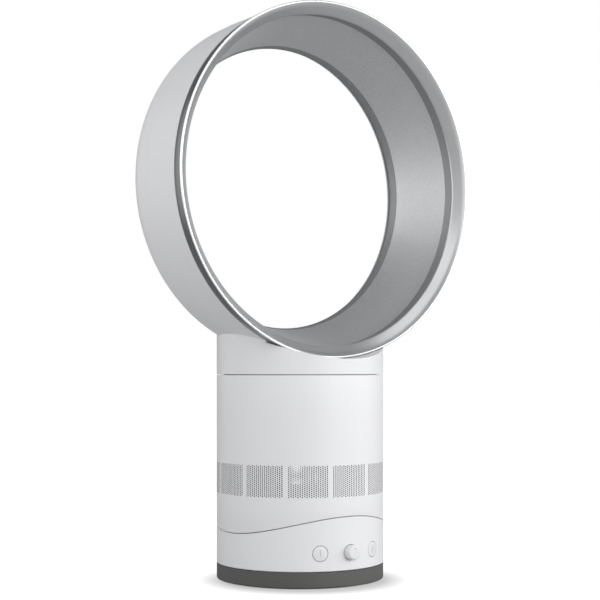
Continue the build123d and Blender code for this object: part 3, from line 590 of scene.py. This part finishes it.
# %% Round the two outer edges of the body
def outer_rim(edge):
    """True on the outer top edge and the outer wavy edge."""
    for vertex in edge.verts:
        inside = turn_radius(vertex.co) <= (BODY_R - 0.1) * MM
        if inside or SEAM_FRONT_Z + 0.7 < vertex.co.z / MM < BODY_TOP - 0.1:
            return False
    return len(edge.link_faces) == 2 and edge.calc_face_angle() > radians(50)


select_only(shell)
edit()
print("rim edges", pick("EDGE", outer_rim))
bpy.ops.mesh.bevel(offset=0.4 * MM, segments=3, profile=0.5)
leave_edit()

# %% [markdown]
# Inside the body there are short bosses for the screws that hold the rocker plate and the
# impeller housing. They hardly ever show, but the screws would hang in the air without them.
# Plain bevelled boxes are enough, and they are joined to the shell as if moulded with it.

# %% Screw bosses inside the body
BOSS_DEPTH = 9
BOSSES = [
    # angles in degrees, distance from the axis, width, bottom, top
    ((30, 150, 210, 330), 64.6, 12, 58.2, 60.7),
    ((90, 210, 330), 69.1, 7, 106.5, 116.0),
]
bosses = []
for angles, distance, width, low, high in BOSSES:
    for angle in angles:
        a = radians(angle)
        place = Vector((distance * cos(a), distance * sin(a), (low + high) / 2)) * MM
        boss = box((width, BOSS_DEPTH, high - low), place, angle)
        add_modifier(boss, "BEVEL", width=0.5 * MM, segments=2)
        bosses.append(boss)
join(shell, *bosses)
finish_piece(shell, "body_shell", "main_body", "white_plastic", ["body_casing"], 32)

# %% [markdown]
# ## The two push buttons
#
# Each button is a small round cap, flush with the base and curved like it, with a mark pressed
# into its face. The cap is a cylinder that is cut to the curve of the base by a Boolean with a
# large upright cylinder; the mark is cut by thin bars; a bevel softens the rim. Behind the cap
# are a flange that keeps it in the casing and a stem that reaches its switch. A flat cap would
# be quicker to make, but its rim would stand out of the curved wall at the sides.

# %% Places and tools for the controls
CONTROL_Z = 30.0
CONTROL_DEG = 22.0
CAP_R = 6.4
FACE_R = BODY_R + 0.1
MARK_DEPTH = 1.2


def outward(front_deg, radius, across=0.0, up=0.0):
    """A place in metres, from an angle and a distance from the axis, moved across and up."""
    a = radians(front_deg)
    out = Vector((sin(a), -cos(a), 0)) * radius
    return (out + Vector((cos(a), sin(a), 0)) * across + Vector((0, 0, CONTROL_Z + up))) * MM


def rod(front_deg, radius, start, end, vertices=64):
    """A cylinder that points straight out of the casing, from one distance to another."""
    clear_selection()
    bpy.ops.mesh.primitive_cylinder_add(
        vertices=vertices,
        radius=radius * MM,
        depth=(end - start) * MM,
        location=outward(front_deg, (start + end) / 2),
        rotation=(pi / 2, 0, radians(front_deg)),
    )
    piece = bpy.context.object
    bpy.ops.object.transform_apply(location=True, rotation=True)
    return piece


def bar(front_deg, width, height, across):
    """A thin upright bar in the face of a control, for cutting a mark."""
    place = outward(front_deg, BODY_R + 0.15, across)
    return box((width, MARK_DEPTH, height), place, front_deg)


def cut(piece, tool, operation="DIFFERENCE"):
    """Cuts a piece with another one and removes the tool."""
    add_modifier(piece, "BOOLEAN", object=tool, operation=operation, solver="EXACT")
    bpy.data.objects.remove(tool)


# %% Power button with one bar, and swing button with three
def push_button(name, front_deg, bars):
    """A button with its marks, flange and stem; bars are (width, height, place across)."""
    cap = rod(front_deg, CAP_R, 69.0, 76.0, 96)
    clear_selection()
    bpy.ops.mesh.primitive_cylinder_add(
        vertices=720, radius=FACE_R * MM, depth=0.03, location=(0, 0, CONTROL_Z * MM)
    )
    cut(cap, bpy.context.object, "INTERSECT")
    rim = dict(limit_method="ANGLE", angle_limit=radians(60))
    add_modifier(cap, "BEVEL", width=0.3 * MM, segments=3, **rim)
    for width, height, across in bars:
        cut(cap, bar(front_deg, width, height, across))
    flange = rod(front_deg, 8.2, 68.4, 70.1, 64)
    add_modifier(flange, "BEVEL", width=0.25 * MM, segments=2)
    stem = rod(front_deg, 3.0, 65.0, 69.0, 32)
    add_modifier(stem, "BEVEL", width=0.25 * MM, segments=2)
    button = join(cap, flange, stem)
    finish_piece(button, name + "_cap", name, "control_plastic", [name])


push_button("power_button", -CONTROL_DEG, [(0.7, 6.2, 0)])
push_button("swing_button", CONTROL_DEG, [(0.6, 3.2, -2.2), (0.6, 6.2, 0), (0.6, 3.2, 2.2)])

# %% [markdown]
# ## The speed dial
#
# The dial stands out of the base like a short thumb, with a well rounded end and a shallow dot
# that shows its setting. A bevelled cylinder would come close, but the dial also has a flange
# and a stem of other widths, so its half section is spun about a lying axis in one go. The dot
# is cut by a small sphere.

# %% Speed dial
DIAL_FACE = 80.0
ROUND_R = 2.2
DOT_R = 0.9


def dial_points(pairs):
    """Points of the dial's half section: distance out from the body's axis, and radius, in mm."""
    return [Vector((r, -out, CONTROL_Z)) * MM for out, r in pairs]


dial_outline = [
    (56.0, 0.0),
    (56.0, 2.8),
    (56.2, 3.0),
    (68.4, 3.0),
    (68.4, 7.8),
    (68.6, 8.0),
    (69.9, 8.0),
    (70.1, 7.8),
    (70.1, CAP_R),
    *arc((DIAL_FACE - ROUND_R, CAP_R - ROUND_R), ROUND_R, 90, 0, 10),
    (79.97, 2.0),
    (79.95, 0.0),
]
dial_centre = (0, 0, CONTROL_Z * MM)
dial = turned(
    "speed_dial_knob", dial_points(dial_outline), dial_centre, (0, 1, 0), 96, closed=False
)
clear_selection()
bpy.ops.mesh.primitive_uv_sphere_add(
    segments=24, ring_count=12, radius=DOT_R * MM, location=outward(0, DIAL_FACE + 0.35, 0, 3.4)
)
cut(dial, bpy.context.object)
finish_piece(dial, "speed_dial_knob", "speed_dial", "control_plastic", ["speed_dial"])

# %% [markdown]
# ## Acoustic foam
#
# A thick disc and a sleeve of open-cell foam inside the body take up the noise of the impeller.
# Foam is soft, so its edges are round and its surface is never quite flat. A cloth simulation
# could press it into its seat, but the casing hides it, so the turned shape is divided finely
# and pushed in and out a little with a cloud pattern.

# %% Foam pieces
clouds = bpy.data.textures.new("foam_clouds", "CLOUDS")
clouds.noise_scale = 0.004
clouds.noise_depth = 2
FOAM_EDGE = 1.4


def foam_piece(name, inner, outer, low, high, replaced):
    """A ring of foam with round edges, between two radii and two heights."""
    edge = FOAM_EDGE
    outline = [
        *arc((outer - edge, low + edge), edge, -90, 0, 4),
        *[(outer, low + (high - low) * step / 4) for step in (1.5, 2.5)],
        *arc((outer - edge, high - edge), edge, 0, 90, 4),
        *[(inner + (outer - inner) * step / 8, high) for step in (6, 4, 2)],
        *arc((inner + edge, high - edge), edge, 90, 180, 4),
        *[(inner, low + (high - low) * step / 4) for step in (2.5, 1.5)],
        *arc((inner + edge, low + edge), edge, 180, 270, 4),
        *[(inner + (outer - inner) * step / 8, low) for step in (2, 4, 6)],
    ]
    points = [Vector((r, 0, z)) * MM for r, z in outline]
    foam = turned(name, points, (0, 0, 0), (0, 0, 1), 180)
    uneven = dict(strength=0.5 * MM, mid_level=0.75, texture_coords="LOCAL")
    add_modifier(foam, "DISPLACE", texture=clouds, **uneven)
    finish_piece(foam, name, "main_body", "foam", [replaced], 60)


foam_piece("noise_foam_disc", 14.0, 70.4, 64.0, 70.0, "foam_disc")
foam_piece("noise_foam_sleeve", 62.5, 70.6, 126.0, 158.0, "foam_sleeve")

# %% [markdown]
# ## Patterns that several finishes share
#
# Moulded plastic has a fine grain and faint clouds of tone from the way it filled the mould.
# Dust lies on what faces up. Edges that are handled get polished. Paint with metal flakes
# sparkles in tiny cells, which the finishes paint in as a glint. Each of these is built once as a
# node group with named inputs, and gives out only a height or a mask, so every finish can use it
# at its own strength.


# %% Helpers for nodes
def new_group(name, inputs, outputs):
    """A shader node group with (name, kind, value) inputs and named float outputs."""
    tree = bpy.data.node_groups.new(name, "ShaderNodeTree")
    for label, kind, value in inputs:
        socket = tree.interface.new_socket(label, in_out="INPUT", socket_type=kind)
        if value is not None:
            socket.default_value = value
    for label in outputs:
        tree.interface.new_socket(label, in_out="OUTPUT", socket_type="NodeSocketFloat")
    return tree, tree.nodes.new("NodeGroupInput"), tree.nodes.new("NodeGroupOutput")


def add_node(tree, kind, values=(), **settings):
    """A node with settings and {input: value} values."""
    made = tree.nodes.new(kind)
    for name, value in settings.items():
        setattr(made, name, value)
    for name, value in dict(values).items():
        made.inputs[name].default_value = value
    return made


def maths(tree, operation, first, second=None, clamp=False):
    """A maths node on sockets or plain numbers; returns its output."""
    made = add_node(tree, "ShaderNodeMath", operation=operation, use_clamp=clamp)
    for index, value in enumerate((first, second)):
        if isinstance(value, (int, float)):
            made.inputs[index].default_value = value
        elif value is not None:
            tree.links.new(value, made.inputs[index])
    return made.outputs[0]


def noise(tree, vector, scale, detail=2.0, rough=0.5):
    """A noise texture on a vector, with a scale that is a number or a socket."""
    made = add_node(tree, "ShaderNodeTexNoise", {"Detail": detail, "Roughness": rough})
    tree.links.new(vector, made.inputs["Vector"])
    if isinstance(scale, (int, float)):
        made.inputs["Scale"].default_value = scale
    else:
        tree.links.new(scale, made.inputs["Scale"])
    return made.outputs["Fac"]


def mix_colour(tree, factor, first, second):
    """Mixes two colours, each a socket or plain values; returns the output."""
    made = add_node(tree, "ShaderNodeMix", data_type="RGBA")
    tree.links.new(factor, made.inputs[0])
    for socket, value in ((made.inputs[6], first), (made.inputs[7], second)):
        if isinstance(value, tuple):
            socket.default_value = value
        else:
            tree.links.new(value, socket)
    return made.outputs[2]


# %% [markdown]
# Moulds are spark-eroded, and their texture prints on the plastic as a fine even grain. A
# noise at a high scale stands for it, and a broad one for the faint clouds. An image of a
# grain would need to be laid on each piece; noise in object space needs no such layout.

# %% Moulded grain
VECTOR, FLOAT = "NodeSocketVector", "NodeSocketFloat"
grain, entry, leave = new_group(
    "moulded_grain",
    [("Vector", VECTOR, None), ("Grain Scale", FLOAT, 900.0)],
    ["Height", "Clouds"],
)
fine = noise(grain, entry.outputs["Vector"], entry.outputs["Grain Scale"], 3.0, 0.6)
broad = noise(grain, entry.outputs["Vector"], 11.0, 3.0, 0.5)
grain.links.new(fine, leave.inputs["Height"])
grain.links.new(broad, leave.inputs["Clouds"])
print(grain.name, "has", len(grain.nodes), "nodes")

# %% [markdown]
# A fan that stands in a room gathers dust on everything that faces up. The normal's Z gives
# how much a face looks up, and a noise breaks the layer into specks. Painting the dust by hand
# would look as good, but it would have to be done again for every piece.

# %% Settled dust
dust, entry, leave = new_group(
    "settled_dust",
    [("Vector", VECTOR, None), ("Amount", FLOAT, 0.2)],
    ["Mask"],
)
split = add_node(dust, "ShaderNodeSeparateXYZ")
dust.links.new(add_node(dust, "ShaderNodeNewGeometry").outputs["Normal"], split.inputs[0])
upward = maths(dust, "POWER", maths(dust, "MAXIMUM", split.outputs["Z"], 0.0), 2.0)
specks = noise(dust, entry.outputs["Vector"], 160.0, 4.0, 0.65)
patchy = maths(dust, "MULTIPLY", upward, maths(dust, "SUBTRACT", specks, 0.25, True))
dust.links.new(maths(dust, "MULTIPLY", patchy, entry.outputs["Amount"], True), leave.inputs["Mask"])
print(dust.name, "has", len(dust.nodes), "nodes")

# %% [markdown]
# Edges that are touched and wiped are polished first. The Bevel node gives the normal that a
# rounded edge would have; where it differs from the true normal there is an edge, and a noise
# breaks the line. This finds edges on any mesh, while a vertex paint would need dense meshes.

# %% Edge wear
wear, entry, leave = new_group(
    "edge_wear",
    [("Vector", VECTOR, None), ("Width", FLOAT, 0.0005), ("Amount", FLOAT, 0.5)],
    ["Mask"],
)
rounded = add_node(wear, "ShaderNodeBevel", samples=4)
wear.links.new(entry.outputs["Width"], rounded.inputs["Radius"])
facing = add_node(wear, "ShaderNodeVectorMath", operation="DOT_PRODUCT")
wear.links.new(rounded.outputs["Normal"], facing.inputs[0])
wear.links.new(add_node(wear, "ShaderNodeNewGeometry").outputs["Normal"], facing.inputs[1])
differs = maths(wear, "SUBTRACT", 0.995, facing.outputs["Value"], True)
sharp = maths(wear, "MULTIPLY", differs, 6.0, True)
broken = maths(wear, "MULTIPLY", sharp, noise(wear, entry.outputs["Vector"], 240.0, 3.0, 0.6))
wear.links.new(maths(wear, "MULTIPLY", broken, entry.outputs["Amount"], True), leave.inputs["Mask"])
print(wear.name, "has", len(wear.nodes), "nodes")

# %% [markdown]
# Silver paint holds flat flakes that lie at slightly different angles, so a few shine and most
# don't. Each cell of a Voronoi texture has a random colour, and one of its channels gives each
# flake a value; a finish lightens the colour of the high cells as a painted glint and bumps them a
# little, which costs much less than scattering real flakes.

# %% Metal flakes
flakes, entry, leave = new_group(
    "metal_flakes",
    [("Vector", VECTOR, None), ("Flake Scale", FLOAT, 2600.0)],
    ["Sparkle"],
)
cells = add_node(flakes, "ShaderNodeTexVoronoi")
flakes.links.new(entry.outputs["Vector"], cells.inputs["Vector"])
flakes.links.new(entry.outputs["Flake Scale"], cells.inputs["Scale"])
tint = add_node(flakes, "ShaderNodeSeparateColor")
flakes.links.new(cells.outputs["Color"], tint.inputs[0])
flakes.links.new(tint.outputs[0], leave.inputs["Sparkle"])
print(flakes.name, "has", len(flakes.nodes), "nodes")

# %% [markdown]
# ## A finish from the shared patterns
#
# Every finish is a Principled shader of its own. Its colour starts from a plain value, is
# darkened a little by the clouds, dusted where it faces up and lightened on its edges. The
# numbers that are the same all over the surface, such as the metal share of a plastic, are set
# straight on the shader.


# %% Helpers for finishes
DUST_COLOUR = (0.46, 0.44, 0.41, 1.0)


def use_group(tree, which, place, **values):
    """Puts a shared group in a material, fed with a place vector and its own values."""
    made = add_node(tree, "ShaderNodeGroup", node_tree=which)
    tree.links.new(place, made.inputs["Vector"])
    for label, value in values.items():
        made.inputs[label.replace("_", " ")].default_value = value
    return made.outputs


def tone(colour, factor, lift=0.0):
    """A colour made lighter or darker, with its alpha."""
    return (*(min(1.0, c * factor + lift) for c in colour), 1.0)


def finish(
    name,
    colour,
    rough,
    grain_scale,
    grain_mm,
    clouds_by,
    dusty,
    worn,
    flake_glint=0.0,
    spread=0.06,
    metallic=0.0,
):
    """Makes one material from its colour, roughness and the strength of each shared pattern."""
    material = bpy.data.materials.new(name)
    material.use_nodes = True
    tree = material.node_tree
    surface = tree.nodes["Principled BSDF"]
    surface.inputs["Metallic"].default_value = metallic
    place = add_node(tree, "ShaderNodeTexCoord").outputs["Object"]

    moulded = use_group(tree, grain, place, Grain_Scale=grain_scale)
    paint = mix_colour(tree, moulded["Clouds"], tone(colour, 1 - clouds_by), tone(colour, 1))
    height = moulded["Height"]
    if flake_glint:
        sparkle = use_group(tree, flakes, place)["Sparkle"]
        # Cells with a high value are painted lighter: a painted glint of the flakes.
        painted_glint = maths(tree, "POWER", sparkle, 3.0)
        paint = mix_colour(tree, painted_glint, paint, tone(colour, 1 + flake_glint))
        height = maths(tree, "ADD", height, maths(tree, "MULTIPLY", sparkle, 0.5))
    if dusty:
        dust_mask = use_group(tree, dust, place, Amount=dusty)["Mask"]
        paint = mix_colour(tree, dust_mask, paint, DUST_COLOUR)
    if worn:
        wear_mask = use_group(tree, wear, place, Amount=worn)["Mask"]
        paint = mix_colour(tree, wear_mask, paint, tone(colour, 1.25, 0.03))
    tree.links.new(paint, surface.inputs["Base Color"])

    limits = {"To Min": rough - spread, "To Max": rough + spread}
    uneven = add_node(tree, "ShaderNodeMapRange", limits)
    tree.links.new(moulded["Clouds"], uneven.inputs["Value"])
    roughness = uneven.outputs["Result"]
    if dusty:
        matt = maths(tree, "MULTIPLY", dust_mask, 0.4)
        roughness = maths(tree, "ADD", roughness, matt, True)
    tree.links.new(roughness, surface.inputs["Roughness"])

    bump = add_node(tree, "ShaderNodeBump", {"Strength": 0.5, "Distance": grain_mm * MM})
    tree.links.new(height, bump.inputs["Height"])
    tree.links.new(bump.outputs["Normal"], surface.inputs["Normal"])
    return material


# %% [markdown]
# ## The finishes of this fan
#
# The casings are satin white plastic. The inside of the ring has a silver paint with fine
# flakes, the hoop is plated, and the foot is dark. Inside are plain mouldings, natural nylon,
# turned and stamped steel, copper wire and a green circuit board. One material could be copied
# and changed by hand for each, but a table of numbers shows at a glance how they differ.

# %% Finishes
# Each: name, colour, roughness, grain scale, grain in mm, clouds, dust, wear, flake glint.
FLAKE_GLINT = 0.25
plating = dict(spread=0.04, metallic=1.0)
finishes = {
    "white_plastic": finish(
        "satin white plastic", (0.80, 0.80, 0.815), 0.42, 1100, 0.003, 0.03, 0.10, 0.10
    ),
    "control_plastic": finish(
        "smooth control plastic", (0.78, 0.78, 0.795), 0.34, 1600, 0.0015, 0.03, 0.08, 0.25
    ),
    "dark_plastic": finish(
        "dark textured plastic", (0.092, 0.092, 0.089), 0.55, 700, 0.012, 0.12, 0.25, 0.35
    ),
    "silver_paint": finish(
        "silver flake paint", (0.65, 0.66, 0.665), 0.47, 900, 0.002, 0.05, 0.06, 0.10, FLAKE_GLINT,
        metallic=0.88
    ),
    "plated_trim": finish(
        "satin plating", (0.66, 0.665, 0.67), 0.32, 1400, 0.0008, 0.03, 0.05, 0.04, **plating
    ),
    "inner_plastic": finish(
        "plain inner moulding", (0.55, 0.55, 0.56), 0.55, 600, 0.008, 0.08, 0.3, 0.1
    ),
    "black_plastic": finish(
        "black moulding", (0.028, 0.028, 0.03), 0.45, 700, 0.006, 0.2, 0.3, 0.3
    ),
    "nylon": finish("natural nylon", (0.74, 0.71, 0.62), 0.48, 500, 0.005, 0.06, 0.2, 0.1),
    "rubber": finish("soft rubber", (0.035, 0.035, 0.036), 0.75, 500, 0.02, 0.2, 0.35, 0.2),
    "foam": finish("open-cell foam", (0.075, 0.075, 0.08), 0.95, 420, 0.6, 0.3, 0.3, 0.0),
    "steel": finish(
        "turned steel", (0.50, 0.50, 0.51), 0.34, 1500, 0.002, 0.1, 0.15, 0.2, metallic=1.0
    ),
    "screw_steel": finish(
        "zinc-plated steel", (0.46, 0.46, 0.45), 0.38, 1200, 0.003, 0.15, 0.15, 0.3, metallic=1.0
    ),
    "lamination_steel": finish(
        "stacked sheet steel", (0.17, 0.18, 0.20), 0.45, 900, 0.006, 0.2, 0.2, 0.2, metallic=0.8
    ),
    "copper": finish(
        "enamelled copper wire", (0.60, 0.25, 0.11), 0.30, 700, 0.02, 0.2, 0.15, 0.2, metallic=0.9
    ),
    "brass": finish(
        "turned brass", (0.68, 0.50, 0.21), 0.30, 1300, 0.002, 0.1, 0.15, 0.2, metallic=1.0
    ),
    "magnet": finish(
        "sintered magnet", (0.10, 0.10, 0.11), 0.50, 800, 0.006, 0.15, 0.15, 0.2, metallic=0.6
    ),
    "circuit_board": finish(
        "green solder mask", (0.02, 0.13, 0.055), 0.32, 900, 0.004, 0.2, 0.2, 0.2
    ),
}
print(len(finishes), "finishes")

# %% [markdown]
# Every piece carries the name of its finish: a piece carried over from the CAD model in the
# record, a piece made here on itself. Dragging materials onto more than fifty pieces by hand would
# invite a slip, so a loop reads that name and hangs the finish on the piece.

# %% Hang the finishes on the pieces
slot_of = {part["node"]: part["material_slot"] for part in frame["record"]["subparts"]}
for name, part in frame["nodes"].items():
    part.data.materials.clear()
    part.data.materials.append(finishes[slot_of[name]])
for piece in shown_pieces():
    if "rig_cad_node" not in piece:
        piece.data.materials.clear()
        piece.data.materials.append(finishes[piece["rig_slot"]])

# %% [markdown]
# ## Painted light and shade on some surfaces
#
# Some faces get a lighter or darker copy of their finish that stands in for light and shade. The
# hoop is plated all over; its narrow outer strip gets a darker copy as a painted reflection of the
# dim room, and its bead a brighter copy as a painted highlight. The lip and the guide band of the
# ring get a darker silver than the flared wall between them as painted shade. Splitting the pieces
# would make joints that the fan hasn't got, so faces are picked by place and given a second
# material instead.


# %% Helper for a second finish
def refinish(piece, material, test):
    """Gives the faces of a piece that pass the test a material of their own."""
    piece.data.materials.append(material)
    select_only(piece)
    edit()
    count = pick("FACE", test)
    piece.active_material_index = len(piece.data.materials) - 1
    bpy.ops.object.material_slot_assign()
    leave_edit()
    print(piece.name, count, "faces in", material.name)


def ring_place(face):
    """A face's distance from the ring's axis, and its place from front to back, in mm."""
    centre = face.calc_center_median() - Vector(RING_CENTRE)
    return centre.xz.length / MM, centre.y / MM


# %% Painted dark reflection on the hoop's strip and painted highlight on its bead
STRIP_R = 151.3
STRIP_FRONT, STRIP_REAR = -49.4, -39.2
BEAD_FACE = 1.1e-6


def on_strip(face):
    """True on the narrow strip round the outside of the hoop."""
    distance, depth = ring_place(face)
    return distance > STRIP_R and STRIP_FRONT < depth < STRIP_REAR


def on_bead(face):
    """True on the small faces of the bead, in front of the strip."""
    return ring_place(face)[1] < STRIP_FRONT and face.calc_area() < BEAD_FACE


# A darker copy of the plating on the strip: a painted reflection of the dim room.
plating_painted_dark_reflection = finish(
    "plating with painted dark reflection", (0.20, 0.205, 0.21), 0.30, 1400, 0.0008, 0.03, 0.05, 0.10, **plating
)
# A brighter copy of the plating on the bead: a painted highlight.
plating_painted_highlight = finish(
    "plating with painted highlight", (0.93, 0.93, 0.93), 0.30, 1400, 0.0008, 0.02, 0.03, 0.0, **plating
)
refinish(hoop, plating_painted_dark_reflection, on_strip)
refinish(hoop, plating_painted_highlight, on_bead)

# %% Painted shade on the lip and the guide band
BAND_REAR = -29.4
# A darker copy of the silver paint on the lip and the guide band: painted shade.
silver_with_painted_shade = finish(
    "silver flake paint with painted shade", (0.31, 0.315, 0.32), 0.47, 900, 0.002, 0.05, 0.06, 0.10, FLAKE_GLINT,
    metallic=0.65
)
refinish(lip, silver_with_painted_shade, lambda f: True)
refinish(wall, silver_with_painted_shade, lambda f: ring_place(f)[1] < BAND_REAR)

# %% [markdown]
# Through the inlet holes the eye meets the dim inside of the casing. In a real fan the light
# that gets in is swallowed by foam and motor; here the inner face behind the holes and the walls
# of the holes are painted near black as painted shade, which costs less than tracing many bounces
# of light in the dark space.

# %% Painted shade on the inner face behind the inlet holes
SHADE_LOW, SHADE_HIGH = 72, 105
# Near-black painted shade for the inside behind the holes.
painted_shade = finish("painted shade inner wall", (0.08, 0.08, 0.082), 0.7, 700, 0.006, 0.08, 0.2, 0.0)


def behind_holes(face):
    """True on the inner face of the body and the walls of its holes."""
    centre = face.calc_center_median()
    within = turn_radius(centre) < (BODY_R - 0.2) * MM
    return within and SHADE_LOW < centre.z / MM < SHADE_HIGH


refinish(shell, painted_shade, behind_holes)

# %% [markdown]
# ## The floor
#
# The fan stands on a plain pale floor that runs into a white background. On a real studio
# table the floor is only dark close to the foot, where little light gets in. The camera sees a
# floor that shines white and fades to grey near the foot with a soft edge, a painted contact
# shadow; the lights and the fan see a plain grey one, so that the fan's reflections stay calm. A
# plain white floor alone would show nine faint shadows, one for each lamp.

# %% Helper for a look that only the camera sees
def camera_sees(tree, seen, others, output):
    """Shows one shader to the camera and another to all other rays."""
    choice = add_node(tree, "ShaderNodeMixShader")
    rays = add_node(tree, "ShaderNodeLightPath")
    tree.links.new(rays.outputs["Is Camera Ray"], choice.inputs[0])
    tree.links.new(others.outputs[0], choice.inputs[1])
    tree.links.new(seen.outputs[0], choice.inputs[2])
    tree.links.new(choice.outputs[0], tree.nodes[output].inputs["Surface"])


# %% Floor
SHADOW_CENTRE = (-0.0045, -0.013, 0.0)
SHADOW_FADE = {"From Min": 0.070, "From Max": 0.098, "To Min": 0.46, "To Max": 1.0}

clear_selection()
bpy.ops.mesh.primitive_plane_add(size=60)
floor = bpy.context.object
floor.name = "studio_floor"
floor_finish = bpy.data.materials.new("pale floor")
floor_finish.use_nodes = True
tree = floor_finish.node_tree
pale = tree.nodes["Principled BSDF"]
pale.inputs["Base Color"].default_value = (0.2, 0.2, 0.2, 1)
pale.inputs["Roughness"].default_value = 0.9
pale.inputs["Emission Color"].default_value = (1, 1, 1, 1)
distance = add_node(tree, "ShaderNodeVectorMath", {1: SHADOW_CENTRE}, operation="DISTANCE")
tree.links.new(add_node(tree, "ShaderNodeTexCoord").outputs["Object"], distance.inputs[0])
# The glow drops towards the foot: a painted contact shadow. Further out the floor is evenly white.
glow_and_painted_shadow = add_node(tree, "ShaderNodeMapRange", SHADOW_FADE)
tree.links.new(distance.outputs["Value"], glow_and_painted_shadow.inputs["Value"])
tree.links.new(glow_and_painted_shadow.outputs["Result"], pale.inputs["Emission Strength"])
plain = add_node(tree, "ShaderNodeBsdfDiffuse", {"Color": (0.55, 0.55, 0.55, 1)})
camera_sees(tree, pale, plain, "Material Output")
floor.data.materials.append(floor_finish)
floor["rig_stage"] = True
print("floor", floor.dimensions.x, "m wide")

# %% [markdown]
# ## The room
#
# The room round the table is dim, which gives the silver its dark tones, but its background is
# white. A white wall behind the fan would also light it from behind, so the world is white
# only to the camera, and a soft grey to everything else.

# %% Room light
world = bpy.data.worlds.new("studio")
bpy.context.scene.world = world
world.use_nodes = True
tree = world.node_tree
room = tree.nodes["Background"]
room.inputs["Color"].default_value = (0.96, 0.98, 1.0, 1)
room.inputs["Strength"].default_value = 0.24
white = {"Color": (1, 1, 1, 1), "Strength": 1.0}
backdrop = add_node(tree, "ShaderNodeBackground", white)
camera_sees(tree, backdrop, room, "World Output")
print("room light", round(room.inputs["Strength"].default_value, 2))

# %% [markdown]
# ## The soft boxes
#
# Nine large soft boxes stand all round the fan, like the panels of a light tent. The strong
# ones are at the front and the right, and the weaker ones shape the left side and fill the
# ring. One big lamp would give the white body its shape too, but shiny metal shows what stands
# round it, so each part of the ring needs something bright to mirror.


# %% Soft boxes
def softbox(name, place, width, height, brightness):
    """A large rectangular light at a place, aimed at the middle of the fan."""
    clear_selection()
    bpy.ops.object.light_add(type="AREA", location=place)
    lamp = bpy.context.object
    lamp.name = name
    lamp.data.shape = "RECTANGLE"
    lamp.data.size = width
    lamp.data.size_y = height
    lamp.data.energy = brightness * pi * width * height
    lamp.rotation_euler = (AIM - Vector(place)).to_track_quat("-Z", "Y").to_euler()


AIM = Vector((0, 0, 0.3))
SOFTBOXES = [
    # name, place, width, height, brightness
    ("left", (-1.9, 0.15, 0.45), 1.5, 1.9, 1.45),
    ("left_back", (-1.2, 1.5, 0.45), 1.5, 1.9, 0.9),
    ("left_front", (-1.7, -1.2, 0.45), 1.2, 1.9, 0.35),
    ("above_left", (-1.2, -0.8, 1.7), 1.4, 1.2, 1.0),
    ("near_camera", (-0.9, -2.2, 0.6), 1.2, 1.6, 0.9),
    ("front", (0.4, -2.0, 0.5), 1.3, 1.9, 3.2),
    ("right", (1.6, -1.1, 0.5), 1.4, 1.9, 2.4),
    ("right_back", (1.7, 0.9, 0.5), 1.5, 1.9, 0.3),
    ("overhead", (0.0, -0.4, 2.3), 1.4, 1.4, 1.0),
]
for name, place, width, height, brightness in SOFTBOXES:
    softbox(name, place, width, height, brightness)
bpy.context.scene.view_settings.view_transform = "Standard"
print(len(SOFTBOXES), "soft boxes")

# %% [markdown]
# ## The size of the shown pieces
#
# The pieces made here must not be larger than the CAD model. That could be judged by eye, but
# measuring is surer, so the box round all the shown pieces is measured and printed.

# %% Sizes
low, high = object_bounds()
print("visual box in mm:", [round(x / MM, 1) for x in (*low, *high)])
